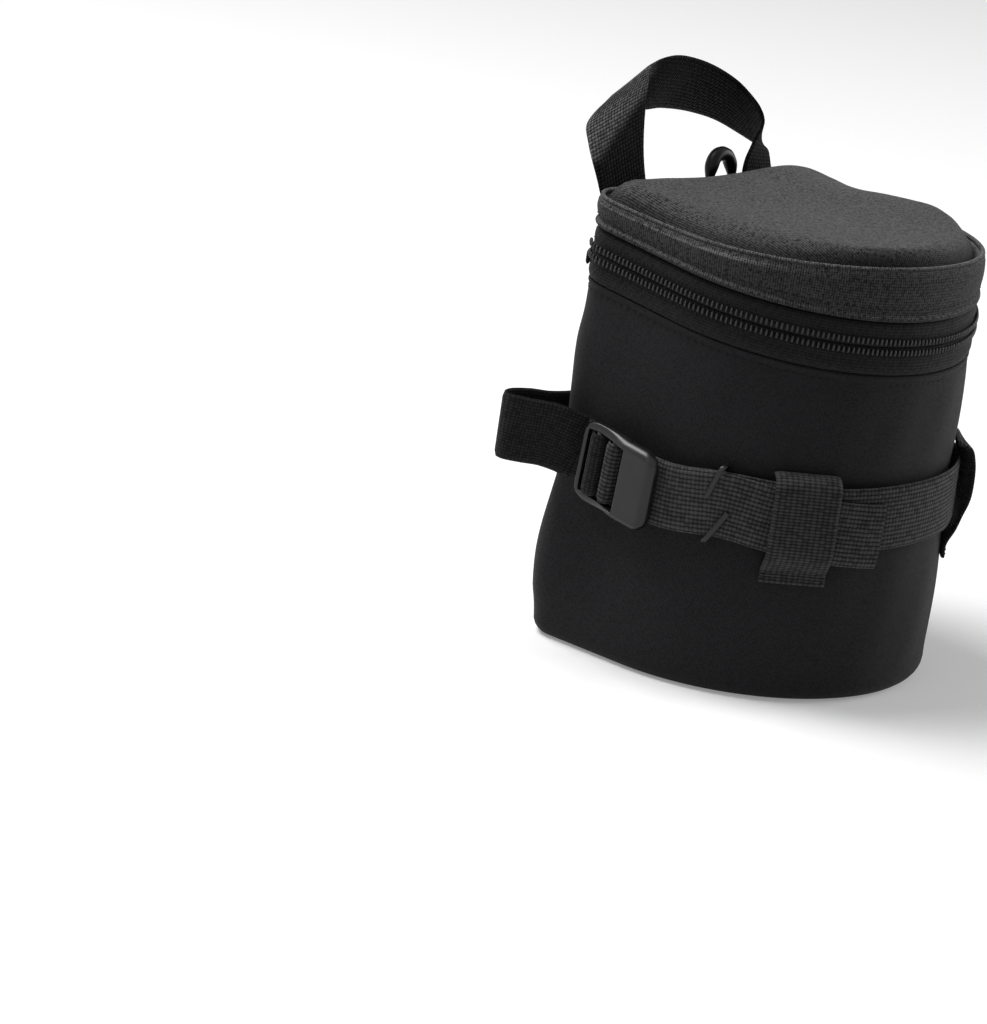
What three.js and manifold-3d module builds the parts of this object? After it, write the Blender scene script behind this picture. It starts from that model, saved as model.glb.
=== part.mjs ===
// Padded lens pouch: a D-shaped case with a zipped lid, a carrying loop, a side strap and a belt tab.
// Millimetres, +Z up. The origin lies on the base plane, on the axis of the round front.
// The round front faces -Y and the flat back faces +Y.
import * as THREE from 'three';
import { mergeVertices } from 'three/addons/utils/BufferGeometryUtils.js';
import Module from 'manifold-3d';

const wasm = await Module();
wasm.setup();

// Case outline
const LID_HALF_WIDTH = 55; // outer wall at the lid seam, also the radius of the round front
const BASE_FLARE = 3.3; // how far the base stands out past the lid on each side
const BACK_Y = 37.5; // outer plane of the flat back
const CORNER_RADIUS = 9.5; // upright edges between the sides and the back
const BASE_EDGE_RADIUS = 5; // rounded edge between wall and base

// Heights on the axis of the round front, and how they climb towards the back
const RIM_HEIGHT = 106.8; // top edge of the outer wall
const LOWER_TAPE_HEIGHT = 9; // rim to the middle of the zip
const UPPER_TAPE_HEIGHT = 7.6; // middle of the zip to the lower edge of the lid band
const LID_BAND_HEIGHT = 8.8; // lower edge of the lid band to the lid seam
const ZIP_SLOPE = 0.113;
const LID_SLOPE = 0.04;
const LID_DISH = 0.00094; // upward bow of the lid seam to the front and to the back, per millimetre squared
const LID_LEAN = 0.02; // the soft lid sags to the right
const LID_CROWN = 4.5; // rise of the lid's top panel above its seam
const LID_LIP = 0.8; // how far the lid seam stands out past the wall

// Layers
const FABRIC = 1.2;
const FOAM = 4.5;
const LINING = 0.8;
const BINDING = 1.6;
const CLEARANCE = 0.3; // between neighbouring layers and seated pieces

// Zip
const TAPE = 1; // thickness of the zip tapes
const ZIP_STANDOFF = 0.6; // how far the tapes stand out past the wall
const COIL_THICKNESS = 1.3;
const COIL_ROW = 4.2; // middle of the zip to the back of one row of teeth
const TOOTH_PITCH = 1.9;
const TOOTH_TIP = 0.6; // reach of a tooth past the middle of the zip
const TOOTH_GAP = 0.6; // gap between the two rows along the height
const ZIP_END_TURN = 54; // degrees round the back corners where the teeth end
const END_TAB_LENGTH = 5;
const END_TAB_GAP = 1; // lets the upper row swing up past the end tabs
const END_TAB_DROP = 1.6; // the end tabs lie below the middle of the zip, clear of the lid
const END_TAB_HEIGHT = 4.5;
const SLIDER_LENGTH = 12;
const SLIDER_PLATE = 1.4;
const SLIDER_GAP = 0.9; // keeps the slider clear of the teeth on the sloping zip line
const SLIDER_LIP = 0.6;
const SLIDER_NOSE = 0.7; // narrow end as a share of the shoulder
const STAPLE_SPAN = 7.5;
const STAPLE_BAR = 1.1;
const STAPLE_DEPTH = 1.8;
const PULL_LENGTH = 24;
const PULL_WIDTH = 6;
const PULL_THICKNESS = 1.2;
const PULL_EYE_BAR = 0.9; // from the pull's axis to the near edge of its eye
const PULL_EYE = 2.5; // length of the eye

// Webbing
const WEB_WIDTH = 20;
const WEB = 1.3; // thickness
const STRAP_HEIGHT = 58.8; // middle of the side strap on the round front
const STRAP_STANDOFF = 1.4; // wall to the inner layer of the strap
const STRAP_END_Y = 27; // where the strap is sewn in on the right side
const STRAP_RUN_IN = 10; // from the seam to where it lies at its standoff
const STRAP_WRAP = 240; // degrees round the buckle's strap bar
const TAIL_END_AZIMUTH = -16; // free end of the strap, degrees round the front, left is negative
const TAIL_SAG = 5;
const LEVEL_AZIMUTH = -62; // from here to the left side the strap leans with its buckle

// Ladder-lock buckle on the left side
const BUCKLE_TILT = 8; // degrees, the thumb plate is lower
const BUCKLE_Y = 9; // place of the strap bar along the side
const BUCKLE_Z = 59;
const BUCKLE_WIDTH = 26;
const BUCKLE_RAIL = 2.6; // width of each side rail
const BAR_RADIUS = 1.1;
const BAR_SPACING = 6.2; // strap bar to anchor bar
const END_BAR_REACH = 11.6; // strap bar to the outer edge of the end bar
const END_BAR = 1.7;
const THUMB_START = 5.2; // strap bar to the near edge of the thumb plate
const THUMB_LENGTH = 12;
const THUMB_LIFT = 0.6; // underside of the plate above the rails' underside
const THUMB_RISE = 1.3;
const BUCKLE_CORNER = 4;
const BUCKLE_THICKNESS = 2.2;
const BAR_SLACK = 0.6; // play of the anchor webbing on its bar

// Strap keeper, a split flat ring
const KEEPER_AZIMUTH = -65;
const KEEPER_BAR = 1.9;
const KEEPER_THICKNESS = 0.8;
const KEEPER_PLAY = 1.3; // above and below the strap
const KEEPER_SLANT = 5; // degrees that each front arm leans
const KEEPER_SPLIT = 0.15; // half the gap between the front arms, as a share of the half height

// Front loops
const LOOP_AZIMUTH = 40.5;
const LOOP_ABOVE = 14.2; // from the middle of the strap to the upper end
const LOOP_BELOW = 21.8;
const LOOP_SEWN = 4; // length of the sewn lower end
const RIGHT_LOOP_BULGE = 0.5; // the right loop stands out further because no strap end lies in it

// Anchor loop at the left back edge
const ANCHOR_REACH = 19.5; // how far the loop stands out past the side
const ANCHOR_HEIGHT = 65.9;
const ANCHOR_OPENING = 8; // how far its bend swings behind the front layer
const ANCHOR_SEWN = 4; // length of its sewn end on the back
const ANCHOR_SLACK = 3.2; // between the loop and the buckle's end bar

// Carrying loop
const HANDLE_INSET = 23; // side of the lid to the middle of each end on the back
const HANDLE_RISE = 55; // fold to the highest point
const HANDLE_SWING = 24.5; // how far the loop hangs out behind
const HANDLE_DROP = 5.2; // from the lid's hinge down to where the loop bends away from its sewn ends
const HANDLE_END_LENGTH = 26;

// Ring on the back of the lid
const RING_X = 12.5;
const RING_WIDTH = 12.6;
const RING_HEIGHT = 12;
const RING_ROD = 1.1; // radius
const RING_TAB_WIDTH = 8;
const RING_TAB_RISE = 11.5; // zip line to the ring's bar
const RING_LEAN = 0.16; // backward lean per millimetre of height

// Belt tab on the back
const TAB_MARGIN = 1; // between the tab and the carrying loop's ends
const TAB_TOP = 106;
const TAB_FOLD_Z = 98.85;
const TAB_BOTTOM = 20;
const TAB = 2; // thickness
const TAB_GAP = 4.6; // room for a belt
const PATCH_MARGIN = 2; // patches to the tab's edges
const PATCH_BOTTOM = 24;
const PATCH_HEIGHT = 22;

// Facets
const FRONT_STEPS = 26;
const CORNER_STEPS = 3;
const EDGE_STEPS = 3;
const CURVE_STEPS = 4;
const HANDLE_STEPS = 48;
const STRAP_STEPS = 24;

// Values worked out from the driving dimensions
const zipHeight = RIM_HEIGHT + LOWER_TAPE_HEIGHT;
const lidEdgeHeight = zipHeight + UPPER_TAPE_HEIGHT;
const lidSeamHeight = lidEdgeHeight + LID_BAND_HEIGHT;
const foamInset = FABRIC + CLEARANCE;
const liningInset = foamInset + FOAM + CLEARANCE;
const cavityInset = liningInset + LINING;
const baseFoamTop = FABRIC + CLEARANCE + FOAM;
const hingeZ = zipHeight + ZIP_SLOPE * BACK_Y;
const centreY = (BACK_Y - LID_HALF_WIDTH) / 2;
const innerLayer = STRAP_STANDOFF + WEB / 2;
const outerLayer = innerLayer + WEB + CLEARANCE;
const overLayer = outerLayer + WEB + CLEARANCE;
const coilFace = CLEARANCE + ZIP_STANDOFF;
const sideLength = BACK_Y - CORNER_RADIUS;
const loopTop = STRAP_HEIGHT + LOOP_ABOVE;
const loopBottom = STRAP_HEIGHT - LOOP_BELOW;
const handleX = LID_HALF_WIDTH - HANDLE_INSET;
const handleFoldZ = hingeZ - HANDLE_DROP;
const tabHalfWidth = handleX - WEB_WIDTH / 2 - TAB_MARGIN;
const patchHalfWidth = tabHalfWidth - PATCH_MARGIN;

const radians = THREE.MathUtils.degToRad;
const vec = (x, y, z) => new THREE.Vector3(x, y, z);
const rimZ = (y) => RIM_HEIGHT + ZIP_SLOPE * y;
const zipZ = (y) => zipHeight + ZIP_SLOPE * y;
const lidEdgeZ = (y) => lidEdgeHeight + ZIP_SLOPE * y;
const lidSeamZ = (y, x) => lidSeamHeight + LID_SLOPE * y + LID_DISH * y * y - LID_LEAN * x;
const wallRadius = (z) => LID_HALF_WIDTH + BASE_FLARE * (1 - z / lidSeamHeight);

// Materials
const cloth = (color) => new THREE.MeshStandardMaterial({ color, roughness: 0.9, metalness: 0 });
const shellFabric = cloth(0x1d1e21);
const lidFabric = cloth(0x3a3b3e);
const webbing = cloth(0x1a1a1b);
const zipTape = cloth(0x17171a);
const foam = cloth(0x2e2e30);
const liningCloth = cloth(0x55575c);
const plastic = new THREE.MeshStandardMaterial({ color: 0x232325, roughness: 0.4, metalness: 0 });
const coilPlastic = new THREE.MeshStandardMaterial({ color: 0x222224, roughness: 0.5, metalness: 0 });
const blackMetal = new THREE.MeshStandardMaterial({ color: 0x29292b, roughness: 0.35, metalness: 0.8 });

const pouch = new THREE.Group();

function addPiece(name, geometry, material, parent = pouch) {
  const mesh = new THREE.Mesh(geometry, material);
  mesh.name = name;
  parent.add(mesh);
  return mesh;
}

// Closed solids from grids of points

function solid(points, triangles) {
  const volume = triangles.reduce((sum, [a, b, c]) => {
    const cross = points[b].clone().cross(points[c]);
    return sum + points[a].dot(cross);
  }, 0);
  const outward = volume < 0 ? triangles.map(([a, b, c]) => [a, c, b]) : triangles;
  const geometry = new THREE.BufferGeometry();
  const positions = points.flatMap((p) => [p.x, p.y, p.z]);
  geometry.setAttribute('position', new THREE.Float32BufferAttribute(positions, 3));
  geometry.setIndex(outward.flat());
  geometry.computeVertexNormals();
  return geometry;
}

function quad(triangles, a, b, c, d) {
  triangles.push([a, b, c], [a, c, d]);
}

// A loft through closed sections. Each section lists one face's points, then the other face's in reverse.
function loft(sections, closed) {
  const size = sections[0].length;
  const count = sections.length;
  const triangles = [];
  const at = (i, j) => (i % count) * size + (j % size);
  const spans = closed ? count : count - 1;
  for (let i = 0; i < spans; i += 1) {
    for (let j = 0; j < size; j += 1) {
      quad(triangles, at(i, j), at(i + 1, j), at(i + 1, j + 1), at(i, j + 1));
    }
  }
  if (!closed) {
    for (let j = 0; j < size / 2 - 1; j += 1) {
      quad(triangles, at(0, j), at(0, j + 1), at(0, size - 2 - j), at(0, size - 1 - j));
      const end = count - 1;
      quad(triangles, at(end, size - 1 - j), at(end, size - 2 - j), at(end, j + 1), at(end, j));
    }
  }
  return solid(sections.flat(), triangles);
}

// A sheet between outer rows and inner rows of points that run along the same path
function sheet(outerRows, innerRows, closed = false) {
  const sections = outerRows[0].map((_, i) => [
    ...outerRows.map((points) => points[i]),
    ...innerRows.map((points) => points[i]).reverse(),
  ]);
  return loft(sections, closed);
}

// A stack of rings, closed by a fan at each end
function stack(rings) {
  const size = rings[0].length;
  const points = rings.flat();
  const triangles = [];
  for (let i = 0; i < rings.length - 1; i += 1) {
    for (let j = 0; j < size; j += 1) {
      const next = (j + 1) % size;
      quad(triangles, i * size + j, i * size + next, (i + 1) * size + next, (i + 1) * size + j);
    }
  }
  const middle = (ring) => ring.reduce((sum, p) => sum.add(p), vec(0, 0, 0)).divideScalar(size);
  const lastRing = (rings.length - 1) * size;
  const first = points.push(middle(rings[0])) - 1;
  const last = points.push(middle(rings.at(-1))) - 1;
  for (let j = 0; j < size; j += 1) {
    const next = (j + 1) % size;
    triangles.push([first, next, j], [last, lastRing + j, lastRing + next]);
  }
  return solid(points, triangles);
}

// A strip of webbing between two edges of its middle surface
function ribbon(edges, thickness) {
  const sections = edges.map(([a, b], i) => {
    const [beforeA, beforeB] = edges[Math.max(i - 1, 0)];
    const [afterA, afterB] = edges[Math.min(i + 1, edges.length - 1)];
    const along = afterA.clone().add(afterB).sub(beforeA).sub(beforeB);
    const half = along.cross(b.clone().sub(a)).setLength(thickness / 2);
    return [a.clone().add(half), b.clone().add(half), b.clone().sub(half), a.clone().sub(half)];
  });
  return loft(sections, false);
}

// Edges of a strip of even width from its middle line and its cross direction
const strip = (stations, width) => stations.map(({ middle, across }) => [
  middle.clone().addScaledVector(across, width / 2),
  middle.clone().addScaledVector(across, -width / 2),
]);

// Boolean helpers for the moulded pieces

function toManifold(geometry) {
  const bare = geometry.clone();
  bare.deleteAttribute('normal');
  bare.deleteAttribute('uv');
  const merged = mergeVertices(bare, 1e-4);
  return new wasm.Manifold(new wasm.Mesh({
    numProp: 3,
    vertProperties: new Float32Array(merged.attributes.position.array),
    triVerts: new Uint32Array(merged.index.array),
  }));
}

function fromManifold(body) {
  const mesh = body.getMesh();
  const geometry = new THREE.BufferGeometry();
  geometry.setAttribute('position', new THREE.BufferAttribute(mesh.vertProperties, 3));
  geometry.setIndex(new THREE.BufferAttribute(mesh.triVerts, 1));
  geometry.computeVertexNormals();
  return geometry;
}

function box(x0, x1, y0, y1, z0, z1) {
  const geometry = new THREE.BoxGeometry(x1 - x0, y1 - y0, z1 - z0);
  return geometry.translate((x0 + x1) / 2, (y0 + y1) / 2, (z0 + z1) / 2);
}

function extrude(shape, depth) {
  return new THREE.ExtrudeGeometry(shape, { depth, bevelEnabled: false, curveSegments: CURVE_STEPS });
}

function roundedRectangle(x0, x1, y0, y1, radius) {
  const shape = new THREE.Shape();
  shape.moveTo(x0 + radius, y0);
  shape.lineTo(x1 - radius, y0);
  shape.absarc(x1 - radius, y0 + radius, radius, -Math.PI / 2, 0);
  shape.lineTo(x1, y1 - radius);
  shape.absarc(x1 - radius, y1 - radius, radius, 0, Math.PI / 2);
  shape.lineTo(x0 + radius, y1);
  shape.absarc(x0 + radius, y1 - radius, radius, Math.PI / 2, Math.PI);
  shape.lineTo(x0, y0 + radius);
  shape.absarc(x0 + radius, y0 + radius, radius, Math.PI, Math.PI * 1.5);
  return shape;
}

// The D outline, walked from the right end of the back round the front to the left end of the back

const steps = (count) => Array.from({ length: count + 1 }, (_, i) => i / count);
const rightCorner = steps(CORNER_STEPS).map((t) => ({ side: 1, angle: (1 - t) * Math.PI / 2, shift: 0 }));
const frontArc = steps(FRONT_STEPS).map((t) => ({ side: 0, angle: -t * Math.PI, shift: 0 }));
const leftCorner = steps(CORNER_STEPS).map((t) => ({ side: -1, angle: Math.PI - t * Math.PI / 2, shift: 0 }));
const wholeOutline = [...rightCorner, ...frontArc, ...leftCorner];
const backSpan = [1, -1].map((side) => ({ side, angle: Math.PI / 2, shift: CLEARANCE }));

function outlinePoint({ side, angle, shift }, halfWidth, inset) {
  const radius = (side === 0 ? halfWidth : CORNER_RADIUS) - inset;
  const arcX = side * (halfWidth - CORNER_RADIUS - shift);
  const arcY = side === 0 ? 0 : BACK_Y - CORNER_RADIUS;
  return { x: arcX + radius * Math.cos(angle), y: arcY + radius * Math.sin(angle) };
}

// One row of points on the outline, inset from the outer wall, at a height that depends on the place
function row(stations, inset, level) {
  return stations.map((station) => {
    const first = outlinePoint(station, wallRadius(level(0, 0)), inset);
    const { x, y } = outlinePoint(station, wallRadius(level(first.y, first.x)), inset);
    return vec(x, y, level(y, x));
  });
}

const flat = (z) => () => z;

// Rows of a rounded base edge of the given radius, from the wall down to the base
function edgeRows(stations, radius) {
  return steps(EDGE_STEPS).map((t) => {
    const angle = t * Math.PI / 2;
    const inset = BASE_EDGE_RADIUS - radius * Math.cos(angle);
    return row(stations, inset, flat(BASE_EDGE_RADIUS - radius * Math.sin(angle)));
  });
}

// A plain plate or ring of one layer
const plate = (inset, low, high) => stack([row(wholeOutline, inset, low), row(wholeOutline, inset, high)]);
const hoop = (outer, inner, low, high) => sheet(
  [row(wholeOutline, outer, high), row(wholeOutline, outer, low)],
  [row(wholeOutline, inner, high), row(wholeOutline, inner, low)],
  true,
);
const bend = (stations, outer, inner, low, high) => sheet(
  [row(stations, outer, high), row(stations, outer, low)],
  [row(stations, inner, high), row(stations, inner, low)],
);

// Case: outer fabric, foam and lining

function buildCase() {
  const innerEdge = BASE_EDGE_RADIUS - FABRIC;
  const wallShell = (stations, top) => sheet(
    [row(stations, 0, top), ...edgeRows(stations, BASE_EDGE_RADIUS)],
    [row(stations, FABRIC, top), ...edgeRows(stations, innerEdge)],
  );
  addPiece('outer_wall', wallShell(wholeOutline, rimZ), shellFabric);
  addPiece('back_panel', wallShell(backSpan, flat(hingeZ - CLEARANCE / 2)), shellFabric);
  addPiece('base_panel', plate(BASE_EDGE_RADIUS + CLEARANCE, flat(0), flat(FABRIC)), shellFabric);
  const foamEdge = edgeRows(wholeOutline, innerEdge - CLEARANCE).reverse();
  addPiece('base_foam', stack([...foamEdge, row(wholeOutline, foamInset, flat(baseFoamTop))]), foam);
  const floorTop = baseFoamTop + CLEARANCE + LINING;
  addPiece('wall_foam', hoop(foamInset, foamInset + FOAM, flat(baseFoamTop + CLEARANCE), rimZ), foam);
  addPiece('base_lining', plate(liningInset, flat(baseFoamTop + CLEARANCE), flat(floorTop)), liningCloth);
  addPiece('wall_lining', hoop(liningInset, cavityInset, flat(floorTop + CLEARANCE), rimZ), liningCloth);
  const bindingLow = (y) => rimZ(y) + CLEARANCE;
  const bindingHigh = (y) => bindingLow(y) + BINDING;
  addPiece('mouth_binding', hoop(foamInset, cavityInset, bindingLow, bindingHigh), webbing);
}

// Lid: band, back strip, crowned top, foam and lining

const lid = new THREE.Group();
pouch.add(lid);
const CROWN_RINGS = [0.3, 0.55, 0.78, 0.93, 1];

// Rings of a crowned surface whose edge lies at the given inset and height
function crownRings(inset, edgeLevel) {
  const edge = row(wholeOutline, inset, edgeLevel);
  return CROWN_RINGS.map((scale) => edge.map((p) => {
    const x = p.x * scale;
    const y = centreY + (p.y - centreY) * scale;
    return vec(x, y, edgeLevel(y, x) + LID_CROWN * (1 - scale * scale));
  }));
}

function buildLid() {
  const bandWaist = (y, x) => (lidSeamZ(y, x) + lidEdgeZ(y)) / 2;
  const bandRows = (inset) => [
    row(wholeOutline, inset - LID_LIP, lidSeamZ),
    row(wholeOutline, inset, bandWaist),
    row(wholeOutline, inset, lidEdgeZ),
  ];
  addPiece('lid_side_band', sheet(bandRows(0), bandRows(FABRIC)), lidFabric, lid);
  const stripRows = (inset) => [
    row(backSpan, inset - LID_LIP, lidSeamZ),
    row(backSpan, inset, bandWaist),
    row(backSpan, inset, flat(hingeZ + CLEARANCE / 2)),
  ];
  addPiece('lid_back_strip', sheet(stripRows(0), stripRows(FABRIC)), shellFabric, lid);
  const panelUnder = crownRings(-LID_LIP, (y, x) => lidSeamZ(y, x) + CLEARANCE);
  const panelTop = crownRings(-LID_LIP, (y, x) => lidSeamZ(y, x) + CLEARANCE + FABRIC);
  addPiece('lid_top_panel', stack([...panelUnder, ...panelTop.reverse()]), lidFabric, lid);
  const foamUnder = crownRings(foamInset, (y, x) => lidSeamZ(y, x) - FOAM);
  const foamTop = crownRings(foamInset, lidSeamZ);
  addPiece('lid_foam', stack([...foamUnder, ...foamTop.reverse()]), foam, lid);
  const ceilingTop = (y, x) => lidSeamZ(y, x) - FOAM - CLEARANCE;
  const ceiling = crownRings(foamInset + LINING, (y, x) => ceilingTop(y, x) - LINING);
  const brim = [row(wholeOutline, foamInset + LINING, lidEdgeZ), row(wholeOutline, foamInset, lidEdgeZ)];
  const roof = crownRings(foamInset, ceilingTop).reverse();
  addPiece('lid_lining', stack([...ceiling, ...brim, ...roof]), liningCloth, lid);
}

// Places along the wall, measured as an azimuth round the front or as y along a side

function onArc(azimuth, outward, z) {
  const angle = radians(azimuth);
  const reach = wallRadius(z) + outward;
  return vec(reach * Math.sin(angle), -reach * Math.cos(angle), z);
}

const arcTangent = (azimuth) => vec(Math.cos(radians(azimuth)), Math.sin(radians(azimuth)), 0);
// Up along the tapering wall. The share says how much of the taper to follow.
function wallUp(azimuth, share = 1) {
  const taper = share * BASE_FLARE / lidSeamHeight;
  return vec(-taper * Math.sin(radians(azimuth)), taper * Math.cos(radians(azimuth)), 1).normalize();
}
const onSide = (side, y, outward, z) => vec(side * (wallRadius(z) + outward), y, z);

// Zip: tapes, interlocking rows of teeth, end tabs, slider and pull

// A point on the zip line at a distance from the front centre, offset across and out of the zip
function onZip(distance, across, outward) {
  const radius = wallRadius(zipHeight);
  const side = Math.sign(distance);
  const past = Math.abs(distance) - radius * Math.PI / 2;
  const place = (arcX, arcY, reach, angle) => {
    const y = arcY + reach * Math.sin(angle);
    return vec(arcX + side * reach * Math.cos(angle), y, zipZ(y) + across);
  };
  if (past <= 0) {
    return place(0, 0, radius + outward, past / radius);
  }
  if (past <= sideLength) {
    return place(0, past, radius + outward, 0);
  }
  const turn = (past - sideLength) / CORNER_RADIUS;
  return place(side * (radius - CORNER_RADIUS), sideLength, CORNER_RADIUS + outward, turn);
}

const zipEnd = wallRadius(zipHeight) * Math.PI / 2 + sideLength + CORNER_RADIUS * radians(ZIP_END_TURN);

// One row of pointed teeth. The other row has the same teeth half a pitch on, upside down.
function toothRow(upper) {
  const side = upper ? 1 : -1;
  const count = 2 * Math.floor((2 * zipEnd) / TOOTH_PITCH);
  const sections = steps(count).map((t, i) => {
    const distance = (2 * t - 1) * zipEnd;
    const reaches = (i % 2 === 0) === upper;
    const front = reaches ? -TOOTH_TIP : TOOTH_TIP + TOOTH_GAP;
    const low = coilFace;
    const high = coilFace + COIL_THICKNESS;
    return [
      onZip(distance, side * front, high),
      onZip(distance, side * COIL_ROW, high),
      onZip(distance, side * COIL_ROW, low),
      onZip(distance, side * front, low),
    ];
  });
  return loft(sections, false);
}

function buildZip() {
  const under = (y) => zipZ(y) - CLEARANCE / 2;
  const over = (y) => zipZ(y) + CLEARANCE / 2;
  const inner = TAPE - ZIP_STANDOFF;
  const lowerTape = bend(wholeOutline, -ZIP_STANDOFF, inner, (y) => rimZ(y) + CLEARANCE, under);
  const upperTape = bend(wholeOutline, -ZIP_STANDOFF, inner, over, (y) => lidEdgeZ(y) - CLEARANCE);
  addPiece('zip_tape_lower', lowerTape, zipTape);
  addPiece('zip_tape_upper', upperTape, zipTape, lid);
  addPiece('zip_coil_lower', toothRow(false), coilPlastic);
  addPiece('zip_coil_upper', toothRow(true), coilPlastic, lid);
  [['zip_end_tab_left', -1], ['zip_end_tab_right', 1]].forEach(([name, side]) => {
    const low = -END_TAB_DROP - END_TAB_HEIGHT;
    const sections = steps(CORNER_STEPS).map((t) => {
      const distance = side * (zipEnd + END_TAB_GAP + t * END_TAB_LENGTH);
      return [
        onZip(distance, -END_TAB_DROP, coilFace + COIL_THICKNESS),
        onZip(distance, low, coilFace + COIL_THICKNESS),
        onZip(distance, low, coilFace),
        onZip(distance, -END_TAB_DROP, coilFace),
      ];
    });
    addPiece(name, loft(sections, false), webbing);
  });
}

// The slider and its pull share a frame: x runs along the zip to the back, y across it, z out of it.
const sliderFace = coilFace + COIL_THICKNESS + SLIDER_GAP;
const pullAxisX = STAPLE_SPAN / 2 - STAPLE_BAR - PULL_EYE_BAR - CLEARANCE;
const pullAxisZ = sliderFace + SLIDER_PLATE + CLEARANCE + PULL_EYE_BAR;

function sliderFrame() {
  const frame = new THREE.Group();
  const slope = Math.atan(ZIP_SLOPE);
  const along = vec(0, Math.cos(slope), Math.sin(slope));
  const across = vec(0, -Math.sin(slope), Math.cos(slope));
  frame.quaternion.setFromRotationMatrix(new THREE.Matrix4().makeBasis(along, across, vec(1, 0, 0)));
  frame.position.copy(onSide(1, 0, 0, zipHeight));
  pouch.add(frame);
  return frame;
}

function buildSlider() {
  const frame = sliderFrame();
  const half = SLIDER_LENGTH / 2;
  const shoulder = COIL_ROW + CLEARANCE + SLIDER_LIP;
  const nose = shoulder * SLIDER_NOSE;
  const outline = new THREE.Shape();
  outline.moveTo(-half, -nose);
  outline.lineTo(-half / 2, -shoulder);
  outline.lineTo(half - SLIDER_LIP, -shoulder);
  outline.lineTo(half, -nose);
  outline.lineTo(half, nose);
  outline.lineTo(half - SLIDER_LIP, shoulder);
  outline.lineTo(-half / 2, shoulder);
  outline.lineTo(-half, nose);
  const top = sliderFace + SLIDER_PLATE;
  const body = toManifold(extrude(outline, SLIDER_PLATE).translate(0, 0, sliderFace));
  const lipLow = coilFace + SLIDER_GAP;
  const lip = toManifold(box(-half / 2, half / 2, -shoulder, -shoulder + SLIDER_LIP, lipLow, top));
  const room = PULL_EYE_BAR + CLEARANCE + STAPLE_BAR;
  const high = pullAxisZ + room;
  const span = STAPLE_SPAN / 2;
  const deep = STAPLE_DEPTH / 2;
  const arch = toManifold(extrude(roundedRectangle(-span, span, -deep, deep, deep / 2), high - sliderFace));
  const inside = span - STAPLE_BAR;
  const window = toManifold(box(-inside, inside, -STAPLE_DEPTH, STAPLE_DEPTH, top, high - STAPLE_BAR));
  const staple = arch.translate([0, 0, sliderFace]).subtract(window);
  addPiece('zip_slider', fromManifold(body.add(lip).add(staple)), blackMetal, frame);
  const pull = roundedRectangle(-PULL_EYE_BAR, PULL_LENGTH, -PULL_WIDTH / 2, PULL_WIDTH / 2, PULL_EYE_BAR);
  const eye = new THREE.Path();
  const eyeHalf = STAPLE_DEPTH / 2 + CLEARANCE;
  eye.moveTo(PULL_EYE_BAR, -eyeHalf);
  eye.lineTo(PULL_EYE_BAR + PULL_EYE, -eyeHalf);
  eye.lineTo(PULL_EYE_BAR + PULL_EYE, eyeHalf);
  eye.lineTo(PULL_EYE_BAR, eyeHalf);
  pull.holes.push(eye);
  const pullSolid = extrude(pull, PULL_THICKNESS).translate(pullAxisX, 0, pullAxisZ - PULL_THICKNESS / 2);
  addPiece('zip_pull', fromManifold(toManifold(pullSolid)), blackMetal, frame);
}

// Side strap with its ladder-lock buckle, anchor loop and keeper

const buckleTilt = radians(BUCKLE_TILT);
const barOutward = overLayer - WEB / 2 + BAR_RADIUS;
const buckleZ = (y) => BUCKLE_Z + (y - BUCKLE_Y) * Math.tan(buckleTilt);

// The buckle's frame: x along the strap towards the front, y across it, z out of the wall
const buckleAlong = vec(0, -Math.cos(buckleTilt), -Math.sin(buckleTilt));
const buckleAcross = vec(0, -Math.sin(buckleTilt), Math.cos(buckleTilt));
const buckleOrigin = onSide(-1, BUCKLE_Y, 0, BUCKLE_Z);

function inBuckle(along, outward) {
  return {
    middle: buckleOrigin.clone().addScaledVector(buckleAlong, along).add(vec(-outward, 0, 0)),
    across: buckleAcross,
  };
}

// A place on the strap round the front. Towards the left side it leans over to the buckle's line.
function onStrap(azimuth, outward, sag) {
  const lean = THREE.MathUtils.smoothstep(LEVEL_AZIMUTH - azimuth, 0, 90 + LEVEL_AZIMUTH);
  const level = onArc(azimuth, outward, STRAP_HEIGHT - sag);
  const z = THREE.MathUtils.lerp(level.z, buckleZ(level.y), lean);
  const tilt = buckleTilt * lean;
  const up = wallUp(azimuth, 1 - lean);
  return {
    middle: onArc(azimuth, outward, z),
    across: up.multiplyScalar(Math.cos(tilt)).addScaledVector(arcTangent(azimuth), Math.sin(tilt)),
  };
}

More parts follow.
